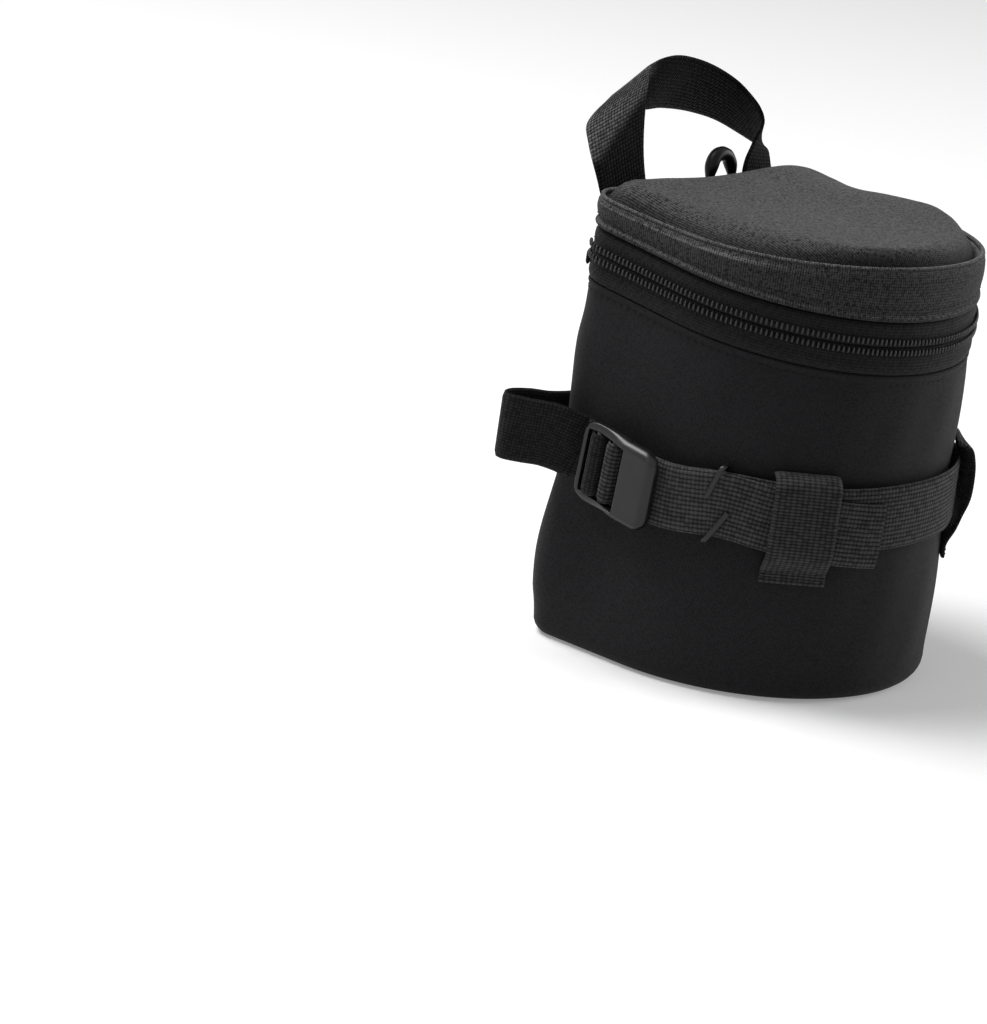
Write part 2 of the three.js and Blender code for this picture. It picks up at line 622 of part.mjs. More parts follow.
function buildStrap() {
  const sewn = CLEARANCE + WEB / 2;
  const upright = wallUp(90);
  const runIn = [STRAP_END_Y, STRAP_END_Y - STRAP_RUN_IN / 2, STRAP_END_Y - STRAP_RUN_IN, STRAP_END_Y / 4];
  const rightSide = runIn.map((y, i) => ({
    middle: onSide(1, y, THREE.MathUtils.lerp(sewn, innerLayer, Math.min(i / 2, 1)), STRAP_HEIGHT),
    across: upright,
  }));
  const innerArc = steps(STRAP_STEPS).map((t) => onStrap(90 - 180 * t, innerLayer, 0));
  const turn = BAR_RADIUS + CLEARANCE + WEB / 2;
  const straight = BUCKLE_Y / Math.cos(buckleTilt);
  const dip = (innerLayer + barOutward - turn) / 2;
  const underBuckle = [inBuckle(straight / 2, innerLayer), inBuckle(turn, dip)];
  const roundBar = steps(8).map((t) => {
    const angle = -Math.PI / 2 - t * radians(STRAP_WRAP);
    return inBuckle(turn * Math.cos(angle), barOutward + turn * Math.sin(angle));
  });
  const overBar = [inBuckle(turn * 1.6, outerLayer + WEB / 2), inBuckle(THUMB_START, outerLayer)];
  const outerArc = steps(STRAP_STEPS / 2).map((t) => {
    const azimuth = THREE.MathUtils.lerp(-90, TAIL_END_AZIMUTH, t);
    const past = Math.max(azimuth - LEVEL_AZIMUTH, 0) / (TAIL_END_AZIMUTH - LEVEL_AZIMUTH);
    return onStrap(azimuth, outerLayer, TAIL_SAG * past);
  });
  const stations = [...rightSide, ...innerArc, ...underBuckle, ...roundBar, ...overBar, ...outerArc];
  addPiece('side_strap', ribbon(strip(stations, WEB_WIDTH), WEB), webbing);
}

function buildBuckle() {
  const low = barOutward - BAR_RADIUS;
  const high = low + BUCKLE_THICKNESS;
  const left = -END_BAR_REACH;
  const right = THUMB_START + THUMB_LENGTH;
  const halfWidth = BUCKLE_WIDTH / 2;
  const opening = halfWidth - BUCKLE_RAIL;
  const profile = new THREE.Shape();
  profile.moveTo(left, low);
  profile.lineTo(0, low);
  profile.lineTo(THUMB_START, low + THUMB_LIFT);
  profile.lineTo(right, low + THUMB_RISE);
  profile.lineTo(right, high + THUMB_RISE - BUCKLE_THICKNESS / 3);
  const crest = high + THUMB_RISE * 1.2;
  profile.quadraticCurveTo(right - BUCKLE_CORNER, crest, THUMB_START, high + THUMB_RISE / 2);
  profile.lineTo(0, high);
  profile.lineTo(left + END_BAR, high);
  profile.lineTo(left, high - BUCKLE_THICKNESS / 3);
  const upright = extrude(profile, BUCKLE_WIDTH).rotateX(Math.PI / 2).translate(0, halfWidth, 0);
  const outline = roundedRectangle(left, right, -halfWidth, halfWidth, BUCKLE_CORNER);
  const cookie = extrude(outline, BUCKLE_WIDTH).translate(0, 0, low - halfWidth);
  const window = box(left + END_BAR, THUMB_START, -opening, opening, low - halfWidth, high + halfWidth);
  const bars = [-BAR_SPACING, 0].map((x) => {
    const bar = new THREE.CylinderGeometry(BAR_RADIUS, BAR_RADIUS, 2 * opening + BUCKLE_RAIL, 12);
    return toManifold(bar.translate(x, 0, barOutward));
  });
  const frame = toManifold(upright).intersect(toManifold(cookie)).subtract(toManifold(window));
  const holder = new THREE.Group();
  const basis = new THREE.Matrix4().makeBasis(buckleAlong, buckleAcross, vec(-1, 0, 0));
  holder.quaternion.setFromRotationMatrix(basis);
  holder.position.copy(buckleOrigin);
  pouch.add(holder);
  addPiece('ladder_lock', fromManifold(frame.add(bars[0]).add(bars[1])), plastic, holder);
}

function buildAnchorLoop() {
  const backLayer = BACK_Y + CLEARANCE + WEB / 2;
  const side = -wallRadius(ANCHOR_HEIGHT);
  const tip = side - ANCHOR_REACH;
  const seam = side + CORNER_RADIUS;
  const bendY = BACK_Y + ANCHOR_OPENING / 2;
  const turn = BAR_RADIUS + BAR_SLACK + WEB / 2;
  const endZ = buckleZ(BUCKLE_Y + END_BAR_REACH);
  const sway = ANCHOR_OPENING / 2;
  const bendEnd = vec(side - ANCHOR_REACH * 0.8, BACK_Y - sway / 2, ANCHOR_HEIGHT - WEB / 2);
  const buckleEnd = vec(side - innerLayer, BUCKLE_Y + END_BAR_REACH + ANCHOR_SLACK, endZ + WEB / 2);
  const frontLayer = [0, 0.4, 0.8, 1].map((t) => {
    const place = bendEnd.clone().lerp(buckleEnd, t);
    return place.setZ(THREE.MathUtils.lerp(bendEnd.z, buckleEnd.z, t * t));
  });
  const route = [
    vec(seam + ANCHOR_SEWN, backLayer, ANCHOR_HEIGHT),
    vec(seam - ANCHOR_SEWN / 2, backLayer + CLEARANCE, ANCHOR_HEIGHT),
    vec(side - WEB, backLayer + sway / 2, ANCHOR_HEIGHT),
    vec(side - ANCHOR_REACH * 0.42, backLayer + sway, ANCHOR_HEIGHT),
    vec(side - ANCHOR_REACH * 0.78, bendY + sway / 2, ANCHOR_HEIGHT),
    vec(tip + WEB / 2, bendY + WEB / 2, ANCHOR_HEIGHT),
    vec(tip, bendY - sway / 2, ANCHOR_HEIGHT),
    ...frontLayer,
  ];
  const curve = new THREE.CatmullRomCurve3(route, false, 'centripetal');
  const leanStart = 0.6;
  const loose = curve.getPoints(STRAP_STEPS).map((middle, i) => {
    const lean = buckleTilt * Math.max(i / STRAP_STEPS - leanStart, 0) / (1 - leanStart);
    return { middle, across: vec(0, -Math.sin(lean), Math.cos(lean)) };
  });
  const sewn = CLEARANCE + WEB / 2;
  const under = [
    inBuckle(-END_BAR_REACH, sewn),
    inBuckle(-BAR_SPACING, sewn),
    inBuckle(-BAR_SPACING + turn / 2, sewn + WEB / 4),
    inBuckle(-BAR_SPACING + turn * 0.9, sewn + WEB),
  ];
  const roundBar = steps(6).map((t) => {
    const angle = t * Math.PI;
    return inBuckle(-BAR_SPACING + turn * Math.cos(angle), barOutward + turn * Math.sin(angle));
  });
  const tuck = inBuckle(-BAR_SPACING - turn, barOutward - turn);
  const stations = [...loose, ...under, ...roundBar, tuck];
  addPiece('anchor_loop', ribbon(strip(stations, WEB_WIDTH), WEB), webbing);
}

function buildKeeper() {
  const front = overLayer - WEB / 2 + KEEPER_THICKNESS / 2;
  const back = STRAP_STANDOFF - CLEARANCE - KEEPER_THICKNESS / 2;
  const reach = WEB_WIDTH / 2 + KEEPER_PLAY;
  const edge = reach + KEEPER_THICKNESS / 2;
  const shoulder = reach - KEEPER_THICKNESS / 2;
  const centreZ = onStrap(KEEPER_AZIMUTH, innerLayer, 0).middle.z;
  const place = (azimuth, outward, height) => ({
    middle: onArc(KEEPER_AZIMUTH + azimuth, outward, centreZ + height),
    across: arcTangent(KEEPER_AZIMUTH + azimuth),
  });
  const stations = [
    place(-KEEPER_SLANT * 0.6, front, reach * KEEPER_SPLIT),
    place(0, front, shoulder),
    place(KEEPER_SLANT * 0.1, front - KEEPER_THICKNESS, edge),
    place(KEEPER_SLANT * 0.2, back + KEEPER_THICKNESS, edge),
    place(KEEPER_SLANT * 0.2, back, shoulder),
    place(-KEEPER_SLANT * 0.4, back, -shoulder),
    place(-KEEPER_SLANT * 0.4, back + KEEPER_THICKNESS, -edge),
    place(-KEEPER_SLANT * 0.4, front - KEEPER_THICKNESS, -edge),
    place(-KEEPER_SLANT * 0.3, front, -shoulder),
    place(KEEPER_SLANT * 0.7, front, -reach * KEEPER_SPLIT),
  ];
  addPiece('strap_keeper', ribbon(strip(stations, KEEPER_BAR), KEEPER_THICKNESS), plastic);
}

// Two upright webbing loops on the round front. The left one holds the strap's free end.
function buildFrontLoops() {
  const sewn = CLEARANCE + WEB / 2;
  const over = overLayer + CLEARANCE;
  const strapTop = STRAP_HEIGHT + WEB_WIDTH / 2;
  const strapBottom = STRAP_HEIGHT - WEB_WIDTH / 2 - TAIL_SAG / 2;
  const middle = (strapTop + strapBottom) / 2;
  const loops = [['front_loop_left', -LOOP_AZIMUTH, 0], ['front_loop_right', LOOP_AZIMUTH, RIGHT_LOOP_BULGE]];
  loops.forEach(([name, azimuth, bulge]) => {
    const profile = [
      [loopBottom, sewn],
      [loopBottom + LOOP_SEWN, sewn],
      [strapBottom - WEB, over - WEB],
      [strapBottom + WEB, over + bulge * 0.2],
      [middle, over + bulge * 0.8],
      [strapTop - WEB * 2, over + bulge],
      [strapTop + WEB, over + bulge * 0.6],
      [loopTop - WEB / 2, over / 2 + CLEARANCE],
      [loopTop, CLEARANCE],
    ];
    const stations = profile.map(([z, outward]) => ({
      middle: onArc(azimuth, outward, z),
      across: arcTangent(azimuth),
    }));
    addPiece(name, ribbon(strip(stations, WEB_WIDTH), WEB), webbing);
  });
}

// Carrying loop: two sewn ends on the back, and a loop that twists so that its outer edge hangs behind
function buildHandle() {
  const near = BACK_Y + CLEARANCE;
  const half = WEB_WIDTH / 2;
  const foldGap = CLEARANCE / 2;
  [['handle_end_left', -1], ['handle_end_right', 1]].forEach(([name, side]) => {
    const x = side * handleX;
    const low = handleFoldZ - HANDLE_END_LENGTH;
    const end = box(x - half, x + half, near, near + WEB, low, handleFoldZ - foldGap);
    addPiece(name, end, webbing);
  });
  const start = near + WEB / 2;
  const low = handleFoldZ + foldGap;
  const outerX = handleX + half;
  const innerShare = (handleX - half) / outerX;
  // Both edges from the left end to the right end: sideways, backwards and upwards from the fold, as shares
  const outerEdge = [[-1, 0, 0], [-1, 0.02, 0.13], [-1.05, 0.2, 0.38], [-1.02, 0.49, 0.58],
    [-0.88, 0.63, 0.68], [-0.63, 0.69, 0.77], [-0.3, 0.76, 0.7], [0.13, 0.96, 0.66], [0.52, 1, 0.61],
    [0.76, 0.9, 0.56], [0.95, 0.67, 0.52], [1.02, 0.39, 0.43], [1, 0.02, 0.13], [1, 0, 0]];
  const innerEdge = [[-innerShare, 0, 0], [-innerShare, 0.02, 0.13], [-0.57, 0.16, 0.4], [-0.56, 0.27, 0.6],
    [-0.44, 0.47, 0.75], [-0.28, 0.69, 0.95], [-0.05, 0.65, 1], [0.26, 0.57, 0.96], [0.54, 0.47, 0.87],
    [0.65, 0.35, 0.8], [0.68, 0.2, 0.7], [0.62, 0.11, 0.53], [innerShare, 0.02, 0.13], [innerShare, 0, 0]];
  const place = ([x, y, z]) => vec(x * outerX, start + y * HANDLE_SWING, low + z * HANDLE_RISE);
  const trace = (edge) => new THREE.CatmullRomCurve3(edge.map(place)).getPoints(HANDLE_STEPS);
  const outer = trace(outerEdge);
  const inner = trace(innerEdge);
  addPiece('handle_loop', ribbon(outer.map((p, i) => [p, inner[i]]), WEB), webbing);
}

// Ring held by a folded tab on the back of the lid
function buildRing() {
  const near = BACK_Y + CLEARANCE + WEB / 2;
  const turn = RING_ROD + CLEARANCE + WEB / 2;
  const barY = near + turn;
  const barZ = hingeZ + RING_TAB_RISE;
  const low = hingeZ + BINDING;
  const across = vec(1, 0, 0);
  const fold = steps(6).map((t) => {
    const angle = Math.PI * (1 - t);
    return { middle: vec(RING_X, barY + turn * Math.cos(angle), barZ + turn * Math.sin(angle)), across };
  });
  const ends = [vec(RING_X, near, low), vec(RING_X, near + WEB + CLEARANCE, low + WEB)];
  const stations = [{ middle: ends[0], across }, ...fold, { middle: ends[1], across }];
  addPiece('ring_tab', ribbon(strip(stations, RING_TAB_WIDTH), WEB), webbing, lid);
  const half = RING_WIDTH / 2 - RING_ROD;
  const top = RING_HEIGHT - 2 * RING_ROD;
  const rod = new THREE.CatmullRomCurve3([
    [-half, 0], [-half / 2, 0], [half / 2, 0], [half, 0], [half, top * 0.45], [half * 0.62, top * 0.88],
    [0, top], [-half * 0.62, top * 0.88], [-half, top * 0.45],
  ].map(([x, z]) => vec(RING_X + x, barY + z * RING_LEAN, barZ + z)), true, 'centripetal');
  const section = new THREE.Shape().absarc(0, 0, RING_ROD, 0, Math.PI * 2);
  const ring = new THREE.ExtrudeGeometry(section, { steps: 28, extrudePath: rod, curveSegments: 4 });
  addPiece('lid_ring', ring, plastic, lid);
}

// Belt tab: sewn at the top, closed at the bottom by a hook patch and a loop patch
function buildBeltTab() {
  const near = BACK_Y + CLEARANCE;
  const across = vec(1, 0, 0);
  const sewnY = near + TAB / 2;
  const freeY = BACK_Y + TAB_GAP + TAB / 2;
  const width = 2 * tabHalfWidth;
  const anchor = box(-tabHalfWidth, tabHalfWidth, near, near + TAB, TAB_FOLD_Z + CLEARANCE / 2, TAB_TOP);
  addPiece('belt_tab_seam', anchor, webbing);
  const top = TAB_FOLD_Z - CLEARANCE / 2;
  const drop = freeY - sewnY;
  const route = [[sewnY, top], [sewnY, top - drop * 0.3], [sewnY + drop * 0.2, top - drop * 0.8],
    [freeY - drop * 0.2, top - drop * 1.4], [freeY, top - drop * 2], [freeY, TAB_BOTTOM]];
  const stations = route.map(([y, z]) => ({ middle: vec(0, y, z), across }));
  addPiece('belt_tab', ribbon(strip(stations, width), TAB), webbing);
  const middleY = BACK_Y + TAB_GAP / 2;
  const patchTop = PATCH_BOTTOM + PATCH_HEIGHT;
  const patch = (y0, y1) => box(-patchHalfWidth, patchHalfWidth, y0, y1, PATCH_BOTTOM, patchTop);
  addPiece('loop_patch', patch(near, middleY - CLEARANCE / 2), webbing);
  addPiece('hook_patch', patch(middleY + CLEARANCE / 2, BACK_Y + TAB_GAP - CLEARANCE), webbing);
}

buildCase();
buildLid();
buildZip();
buildSlider();
buildStrap();
buildBuckle();
buildAnchorLoop();
buildKeeper();
buildFrontLoops();
buildHandle();
buildRing();
buildBeltTab();

export default pouch;
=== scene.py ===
# %% [markdown]
# # A padded pouch for one camera lens
#
# The pouch is a soft D-shaped case: a round front, a flat back and a zipped lid. A webbing strap with a
# ladder-lock buckle runs round its middle, a carrying loop stands behind the lid, and a belt tab is on
# the back. The solid model gives the sizes and the joints. This lesson dresses each solid with the
# cloth, webbing, stitches and moulded plastic that the real object shows. All sizes are worked out in
# millimetres and turned into metres where a mesh is made.

import bmesh
import bpy
import numpy as np
from mathutils import Matrix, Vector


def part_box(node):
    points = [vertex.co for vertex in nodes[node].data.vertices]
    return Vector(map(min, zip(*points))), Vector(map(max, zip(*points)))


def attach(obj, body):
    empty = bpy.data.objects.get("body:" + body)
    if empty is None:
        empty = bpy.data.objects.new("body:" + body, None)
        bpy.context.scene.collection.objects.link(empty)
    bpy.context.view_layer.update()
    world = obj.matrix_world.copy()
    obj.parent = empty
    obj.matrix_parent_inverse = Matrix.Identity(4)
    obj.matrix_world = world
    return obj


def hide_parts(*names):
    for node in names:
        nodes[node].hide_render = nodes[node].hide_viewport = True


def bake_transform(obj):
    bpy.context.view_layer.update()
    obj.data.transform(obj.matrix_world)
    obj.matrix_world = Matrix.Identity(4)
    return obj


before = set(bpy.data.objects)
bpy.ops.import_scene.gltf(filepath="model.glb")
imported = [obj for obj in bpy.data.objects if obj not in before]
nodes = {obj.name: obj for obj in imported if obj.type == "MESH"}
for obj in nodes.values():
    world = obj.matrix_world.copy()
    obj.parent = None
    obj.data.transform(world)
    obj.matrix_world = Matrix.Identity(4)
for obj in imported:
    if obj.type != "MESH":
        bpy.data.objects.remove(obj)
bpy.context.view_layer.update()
MM = 0.001

# %% [markdown]
# ## The shape of the case
#
# Every soft piece follows one D outline. It could be drawn as a curve and lofted, but the case widens
# towards its base, and each piece lies a little further in or out. So a station on the outline is a
# place plus an outward direction, and it keeps the part of its place that grows with the half width
# apart from the part that doesn't. One row of points is then the outline at a level, moved in or out.

# %% Heights
HALF_WIDTH = 55.0
BASE_FLARE = 3.3
BACK_Y = 37.5
CORNER = 9.5
BASE_EDGE = 5.0
RIM, ZIP, LID_EDGE, LID_SEAM = 106.8, 115.8, 123.4, 132.2
ZIP_SLOPE = 0.113
HINGE_Z = ZIP + ZIP_SLOPE * BACK_Y
CENTRE_Y = (BACK_Y - HALF_WIDTH) / 2
SEAM_SLOPE, SEAM_BOW, SEAM_LEAN = 0.04, 0.00094, 0.02
SEAM_SAG, SAG_AT, SAG_SIZE = 1.3, (50, 20), (14, 16)


def smooth(t):
    t = np.clip(t, 0, 1)
    return t * t * (3 - 2 * t)


def bell(distance, width):
    """1 at no distance, falling smoothly to nothing beyond about twice the width."""
    return np.exp(-((distance / width) ** 2))


def hump(x, y, at, size):
    return bell(x - at[0], size[0]) * bell(y - at[1], size[1])


def rim_z(x, y):
    return RIM + ZIP_SLOPE * y


def zip_z(x, y):
    return ZIP + ZIP_SLOPE * y


def lid_edge_z(x, y):
    return LID_EDGE + ZIP_SLOPE * y


def lid_seam_z(x, y):
    """The lid's top seam is bowed from front to back, falls to the right and sags at its right back."""
    rise = SEAM_SLOPE * y + SEAM_BOW * y * y - SEAM_LEAN * x
    return LID_SEAM + rise - SEAM_SAG * hump(x, y, SAG_AT, SAG_SIZE)


def at_height(z):
    return lambda x, y: z


def raised(level, rise):
    """A level that lies higher than another by a fixed rise."""
    return lambda x, y: level(x, y) + rise


def between(low, high, share, rise=0.0):
    """A level part of the way from a lower level to a higher one."""
    return lambda x, y: low(x, y) + share * (high(x, y) - low(x, y)) + rise


def wall_half(z):
    return HALF_WIDTH + BASE_FLARE * (1 - z / LID_SEAM)


print("height of the hinge:", round(HINGE_Z, 2))


# %% Outline
def outline(front=150, side=16, corner=9, back=0):
    """Stations from the right end of the back round the front to the left end.

    Where back is given, that many more run along the back and close the loop.
    """
    parts = []

    def add(kx, ky, cx, cy, nx, ny):
        parts.append(np.stack(np.broadcast_arrays(kx, ky, cx, cy, nx, ny), 1).astype(float))

    turn = np.linspace(np.pi / 2, 0, corner, endpoint=False)
    cos, sin = np.cos(turn), np.sin(turn)
    add(1, 0, CORNER * (cos - 1), BACK_Y + CORNER * (sin - 1), cos, sin)
    add(1, 0, 0, np.linspace(BACK_Y - CORNER, 0, side, endpoint=False), 1, 0)
    sweep = np.linspace(0, -np.pi, front)
    add(np.cos(sweep), np.sin(sweep), 0, 0, np.cos(sweep), np.sin(sweep))
    left = np.concatenate(parts[:2])[::-1] * [-1, 1, -1, 1, -1, 1]
    parts.append(left)
    if back:
        share = np.linspace(-1, 1, back + 1, endpoint=False)[1:]
        add(share, 0, -share * CORNER, BACK_Y, 0, 1)
    return np.concatenate(parts)


def ring(stations, level, out=0.0):
    """One row of points: the outline at a level, moved outwards."""
    kx, ky, cx, cy, nx, ny = stations.T
    half = wall_half(level(0, 0))
    for _ in range(2):
        x = kx * half + cx + nx * out
        y = ky * half + cy + ny * out
        z = level(x, y) + 0 * x
        half = wall_half(z)
    return np.stack([x, y, z], 1)


WALL = outline()
LOOP = outline(back=48)
print("stations on the wall:", len(WALL), "and on the closed loop:", len(LOOP))

# %% [markdown]
# ## Making meshes
#
# Cloth is a grid of quads. Its UV map is measured in metres along the cloth, so a weave has the same
# thread size on every piece. A webbing strap is a rounded flat section that is swept along a path. A
# curve with a bevel could sweep it too, but its UV map wouldn't be in metres, and its twist is harder
# to steer.


# %% Sheets of cloth
def link_object(name, data):
    made = bpy.data.objects.new(name, data)
    bpy.context.scene.collection.objects.link(made)
    return made


def new_object(name, verts, faces, uvs=None):
    mesh = bpy.data.meshes.new(name)
    mesh.from_pydata((np.asarray(verts, float) * MM).tolist(), [], faces)
    if uvs is not None:
        layer = mesh.uv_layers.new(name="Cloth")
        layer.data.foreach_set("uv", (np.asarray(uvs, float) * MM).ravel())
    mesh.update()
    mesh.shade_smooth()
    return link_object(name, mesh)


def lengths(grid, axis):
    """Running length of a grid of points along one axis, averaged over the other."""
    steps = np.linalg.norm(np.diff(grid, axis=axis), axis=2).mean(axis=1 - axis)
    return np.concatenate([[0], np.cumsum(steps)])


def skin(name, rows, closed=False, flip=False, caps=(False, False)):
    """A sheet through rows of points round the case. Rows that climb give faces that point outwards."""
    grid = np.asarray(rows, float)
    if closed:
        grid = np.concatenate([grid, grid[:, :1]], 1)
    along, up = lengths(grid, 1), lengths(grid, 0)
    count, width = grid.shape[:2]
    ring_size = width - 1 if closed else width
    faces, uvs = [], []
    for i in range(count - 1):
        for j in range(width - 1):
            k = (j + 1) % ring_size
            corner = [(i, j, j), (i + 1, j, j), (i + 1, k, j + 1), (i, k, j + 1)]
            corner = corner[::-1] if flip else corner
            faces.append([a * ring_size + b for a, b, _ in corner])
            uvs += [(along[c], up[a]) for a, _, c in corner]
    verts = grid[:, :ring_size].reshape(-1, 3)
    for cap, row in zip(caps, (0, count - 1)):
        if cap:
            middle = len(verts)
            verts = np.concatenate([verts, grid[row, :ring_size].mean(0)[None]])
            for j in range(ring_size):
                k = (j + 1) % ring_size
                pair = [row * ring_size + j, row * ring_size + k]
                fan = [middle] + (pair if (row == 0) != flip else pair[::-1])
                faces.append(fan)
                uvs += [tuple(verts[v][:2]) for v in fan]
    return new_object(name, verts, faces, uvs)


print("sheets are ready")


# %% Thickness and clean-up
def settle(made):
    """Turn an object with its modifiers into a plain mesh."""
    graph = bpy.context.evaluated_depsgraph_get()
    mesh = bpy.data.meshes.new_from_object(made.evaluated_get(graph))
    made.modifiers.clear()
    made.data = mesh
    mesh.name = made.name
    return made


def thicken(made, thickness):
    shell = made.modifiers.new("thickness", "SOLIDIFY")
    shell.thickness = thickness * MM
    shell.offset = -1
    return settle(made)


def tidy(made):
    """Merge doubles and turn every face of a closed mesh outwards."""
    work = bmesh.new()
    work.from_mesh(made.data)
    bmesh.ops.remove_doubles(work, verts=work.verts, dist=1e-6)
    bmesh.ops.recalc_face_normals(work, faces=work.faces)
    work.to_mesh(made.data)
    work.free()
    made.data.shade_smooth()
    return made


print("thickness and clean-up are ready")

# %% Curves through points
CURVE_STEPS = 14


def unit(v):
    return v / np.linalg.norm(v, axis=-1, keepdims=True)


def run_length(points):
    """Length along a line of points, up to each of them."""
    return np.concatenate([[0], np.cumsum(np.linalg.norm(np.diff(points, axis=0), axis=1))])


def spline(points, spacing):
    """A centripetal curve through points, as points an even distance apart."""
    p = np.asarray(points, float)
    p = np.concatenate([[2 * p[0] - p[1]], p, [2 * p[-1] - p[-2]]])
    fine = []
    for a, b, c, d in zip(p, p[1:], p[2:], p[3:]):
        ta = 0.0
        tb = ta + np.linalg.norm(b[:3] - a[:3]) ** 0.5
        tc = tb + np.linalg.norm(c[:3] - b[:3]) ** 0.5
        td = tc + np.linalg.norm(d[:3] - c[:3]) ** 0.5
        t = np.linspace(tb, tc, CURVE_STEPS, endpoint=False)[:, None]
        a1 = (tb - t) / (tb - ta) * a + (t - ta) / (tb - ta) * b
        a2 = (tc - t) / (tc - tb) * b + (t - tb) / (tc - tb) * c
        a3 = (td - t) / (td - tc) * c + (t - tc) / (td - tc) * d
        b1 = (tc - t) / (tc - ta) * a1 + (t - ta) / (tc - ta) * a2
        b2 = (td - t) / (td - tb) * a2 + (t - tb) / (td - tb) * a3
        fine.append((tc - t) / (tc - tb) * b1 + (t - tb) / (tc - tb) * b2)
    fine = np.concatenate(fine + [p[-2][None]])
    reach = run_length(fine[:, :3])
    even = np.linspace(0, reach[-1], max(int(round(reach[-1] / spacing)), 2) + 1)
    return np.stack([np.interp(even, reach, fine[:, k]) for k in range(fine.shape[1])], 1)


print("steps from one point of a curve to the next:", CURVE_STEPS)

# %% Straps along a path
STRIP_STEP = 0.7
# Share of a strap's thickness at its very edge, and the reach of its rounding in thicknesses
SELVEDGE, SELVEDGE_ROUND = 0.35, 0.9


def band(name, edges, thickness, across_points=14, turned=False):
    """A flat strap between two edges of its middle surface, with rounded selvedges.

    Its UV map runs along the strap and then across it, or the other way round where it is turned.
    """
    a, b = np.asarray(edges[0], float), np.asarray(edges[1], float)
    thickness = np.broadcast_to(thickness, len(a))[:, None]
    middle = (a + b) / 2
    half = np.linalg.norm(a - b, axis=1)[:, None] / 2
    across = unit(a - b)
    along = unit(np.gradient(middle, axis=0))
    out = unit(np.cross(along, across))
    flat = np.linspace(1, -1, across_points)
    reach = np.concatenate([flat, flat[::-1]])
    side = np.concatenate([np.ones(across_points), -np.ones(across_points)])
    edge = np.clip((1 - np.abs(reach)) * half.mean() / (thickness.mean() * SELVEDGE_ROUND), 0, 1)
    fullness = SELVEDGE + (1 - SELVEDGE) * np.sqrt(1 - (1 - edge) ** 2)
    lift = side * thickness / 2 * fullness
    grid = middle[:, None] + across[:, None] * (half * reach)[..., None]
    grid = grid + out[:, None] * lift[..., None]
    size = len(reach)
    run = run_length(middle)
    faces, uvs = [], []
    for i in range(len(grid) - 1):
        for j in range(size):
            k = (j + 1) % size
            corner = [(i, j), (i, k), (i + 1, k), (i + 1, j)]
            faces.append([p * size + q for p, q in corner])
            uvs += [(run[p], reach[q] * half[p, 0]) for p, q in corner]
    for i, order in ((0, 1), (len(grid) - 1, -1)):
        for j in range(across_points - 1):
            cap = [j, size - 1 - j, size - 2 - j, j + 1][::order]
            faces.append([i * size + q for q in cap])
            uvs += [(run[i], reach[q] * half[i, 0]) for q in cap]
    uvs = np.array(uvs)[:, ::-1] if turned else uvs
    return new_object(name, grid.reshape(-1, 3), faces, uvs)


def strip(stations, width, spacing=STRIP_STEP):
    """Two edges of a strap of even width from (middle, across) stations."""
    path = spline([np.concatenate([m, unit(np.asarray(c, float))]) for m, c in stations], spacing)
    middle, across = path[:, :3], unit(path[:, 3:])
    along = unit(np.gradient(middle, axis=0))
    across = unit(across - along * np.sum(across * along, axis=1, keepdims=True))
    return middle + across * width / 2, middle - across * width / 2


print("straps have a point each", STRIP_STEP, "mm")


# %% Round rods
def tube(name, path, radius, sides=12):
    """A round rod along a closed path in a plane. The radius may change along it."""
    p = np.asarray(path, float)
    radius = np.broadcast_to(radius, len(p))[:, None]
    along = unit(np.roll(p, -1, 0) - np.roll(p, 1, 0))
    normal = unit(np.cross(p[1] - p[0], p[len(p) // 3] - p[0]))
    side = unit(np.cross(along, normal))
    turn = np.linspace(0, 2 * np.pi, sides, endpoint=False)
    rows = [p + radius * (np.cos(t) * side + np.sin(t) * normal) for t in turn]
    return tidy(skin(name, rows + rows[:1], closed=True))


print("round rods are ready")

# %% [markdown]
# ## Weave and wear
#
# Cloth and webbing share two effects. A photograph of cloth could serve, but threads worked out from
# the UV map stay sharp at any distance. The weave group turns that map into crossing threads: its
# height feeds the bump, and its tone lightens a thread here and there. The wear group is a slow
# patchiness from Object coordinates, like dust and rubbing. The Principled shader stays in each
# material.


# %% Shader nodes
def node(tree, kind, links=None, **settings):
    made = tree.nodes.new(kind)
    for key, value in settings.items():
        setattr(made, key, value)
    for key, value in (links or {}).items():
        if isinstance(value, bpy.types.NodeSocket):
            tree.links.new(value, made.inputs[key])
        else:
            made.inputs[key].default_value = value
    return made


def calc(tree, operation, a, b=0.0):
    return node(tree, "ShaderNodeMath", {0: a, 1: b}, operation=operation).outputs[0]


def remap(tree, value, low, high, start=0.0, end=1.0):
    """Stretch a value from the range start to end into the range low to high."""
    links = {"Value": value, "From Min": start, "From Max": end, "To Min": low, "To Max": high}
    return node(tree, "ShaderNodeMapRange", links).outputs[0]


def noise(tree, place, scale, detail):
    links = {"Vector": place, "Scale": scale, "Detail": detail}
    return node(tree, "ShaderNodeTexNoise", links).outputs[0]


def new_group(name, inputs, outputs):
    tree = bpy.data.node_groups.new(name, "ShaderNodeTree")
    for label, kind in inputs:
        tree.interface.new_socket(label, in_out="INPUT", socket_type=kind)
    for label in outputs:
        tree.interface.new_socket(label, in_out="OUTPUT", socket_type="NodeSocketFloat")
    start, end = node(tree, "NodeGroupInput"), node(tree, "NodeGroupOutput")
    return tree, start.outputs, end.inputs


print("node helpers are ready")


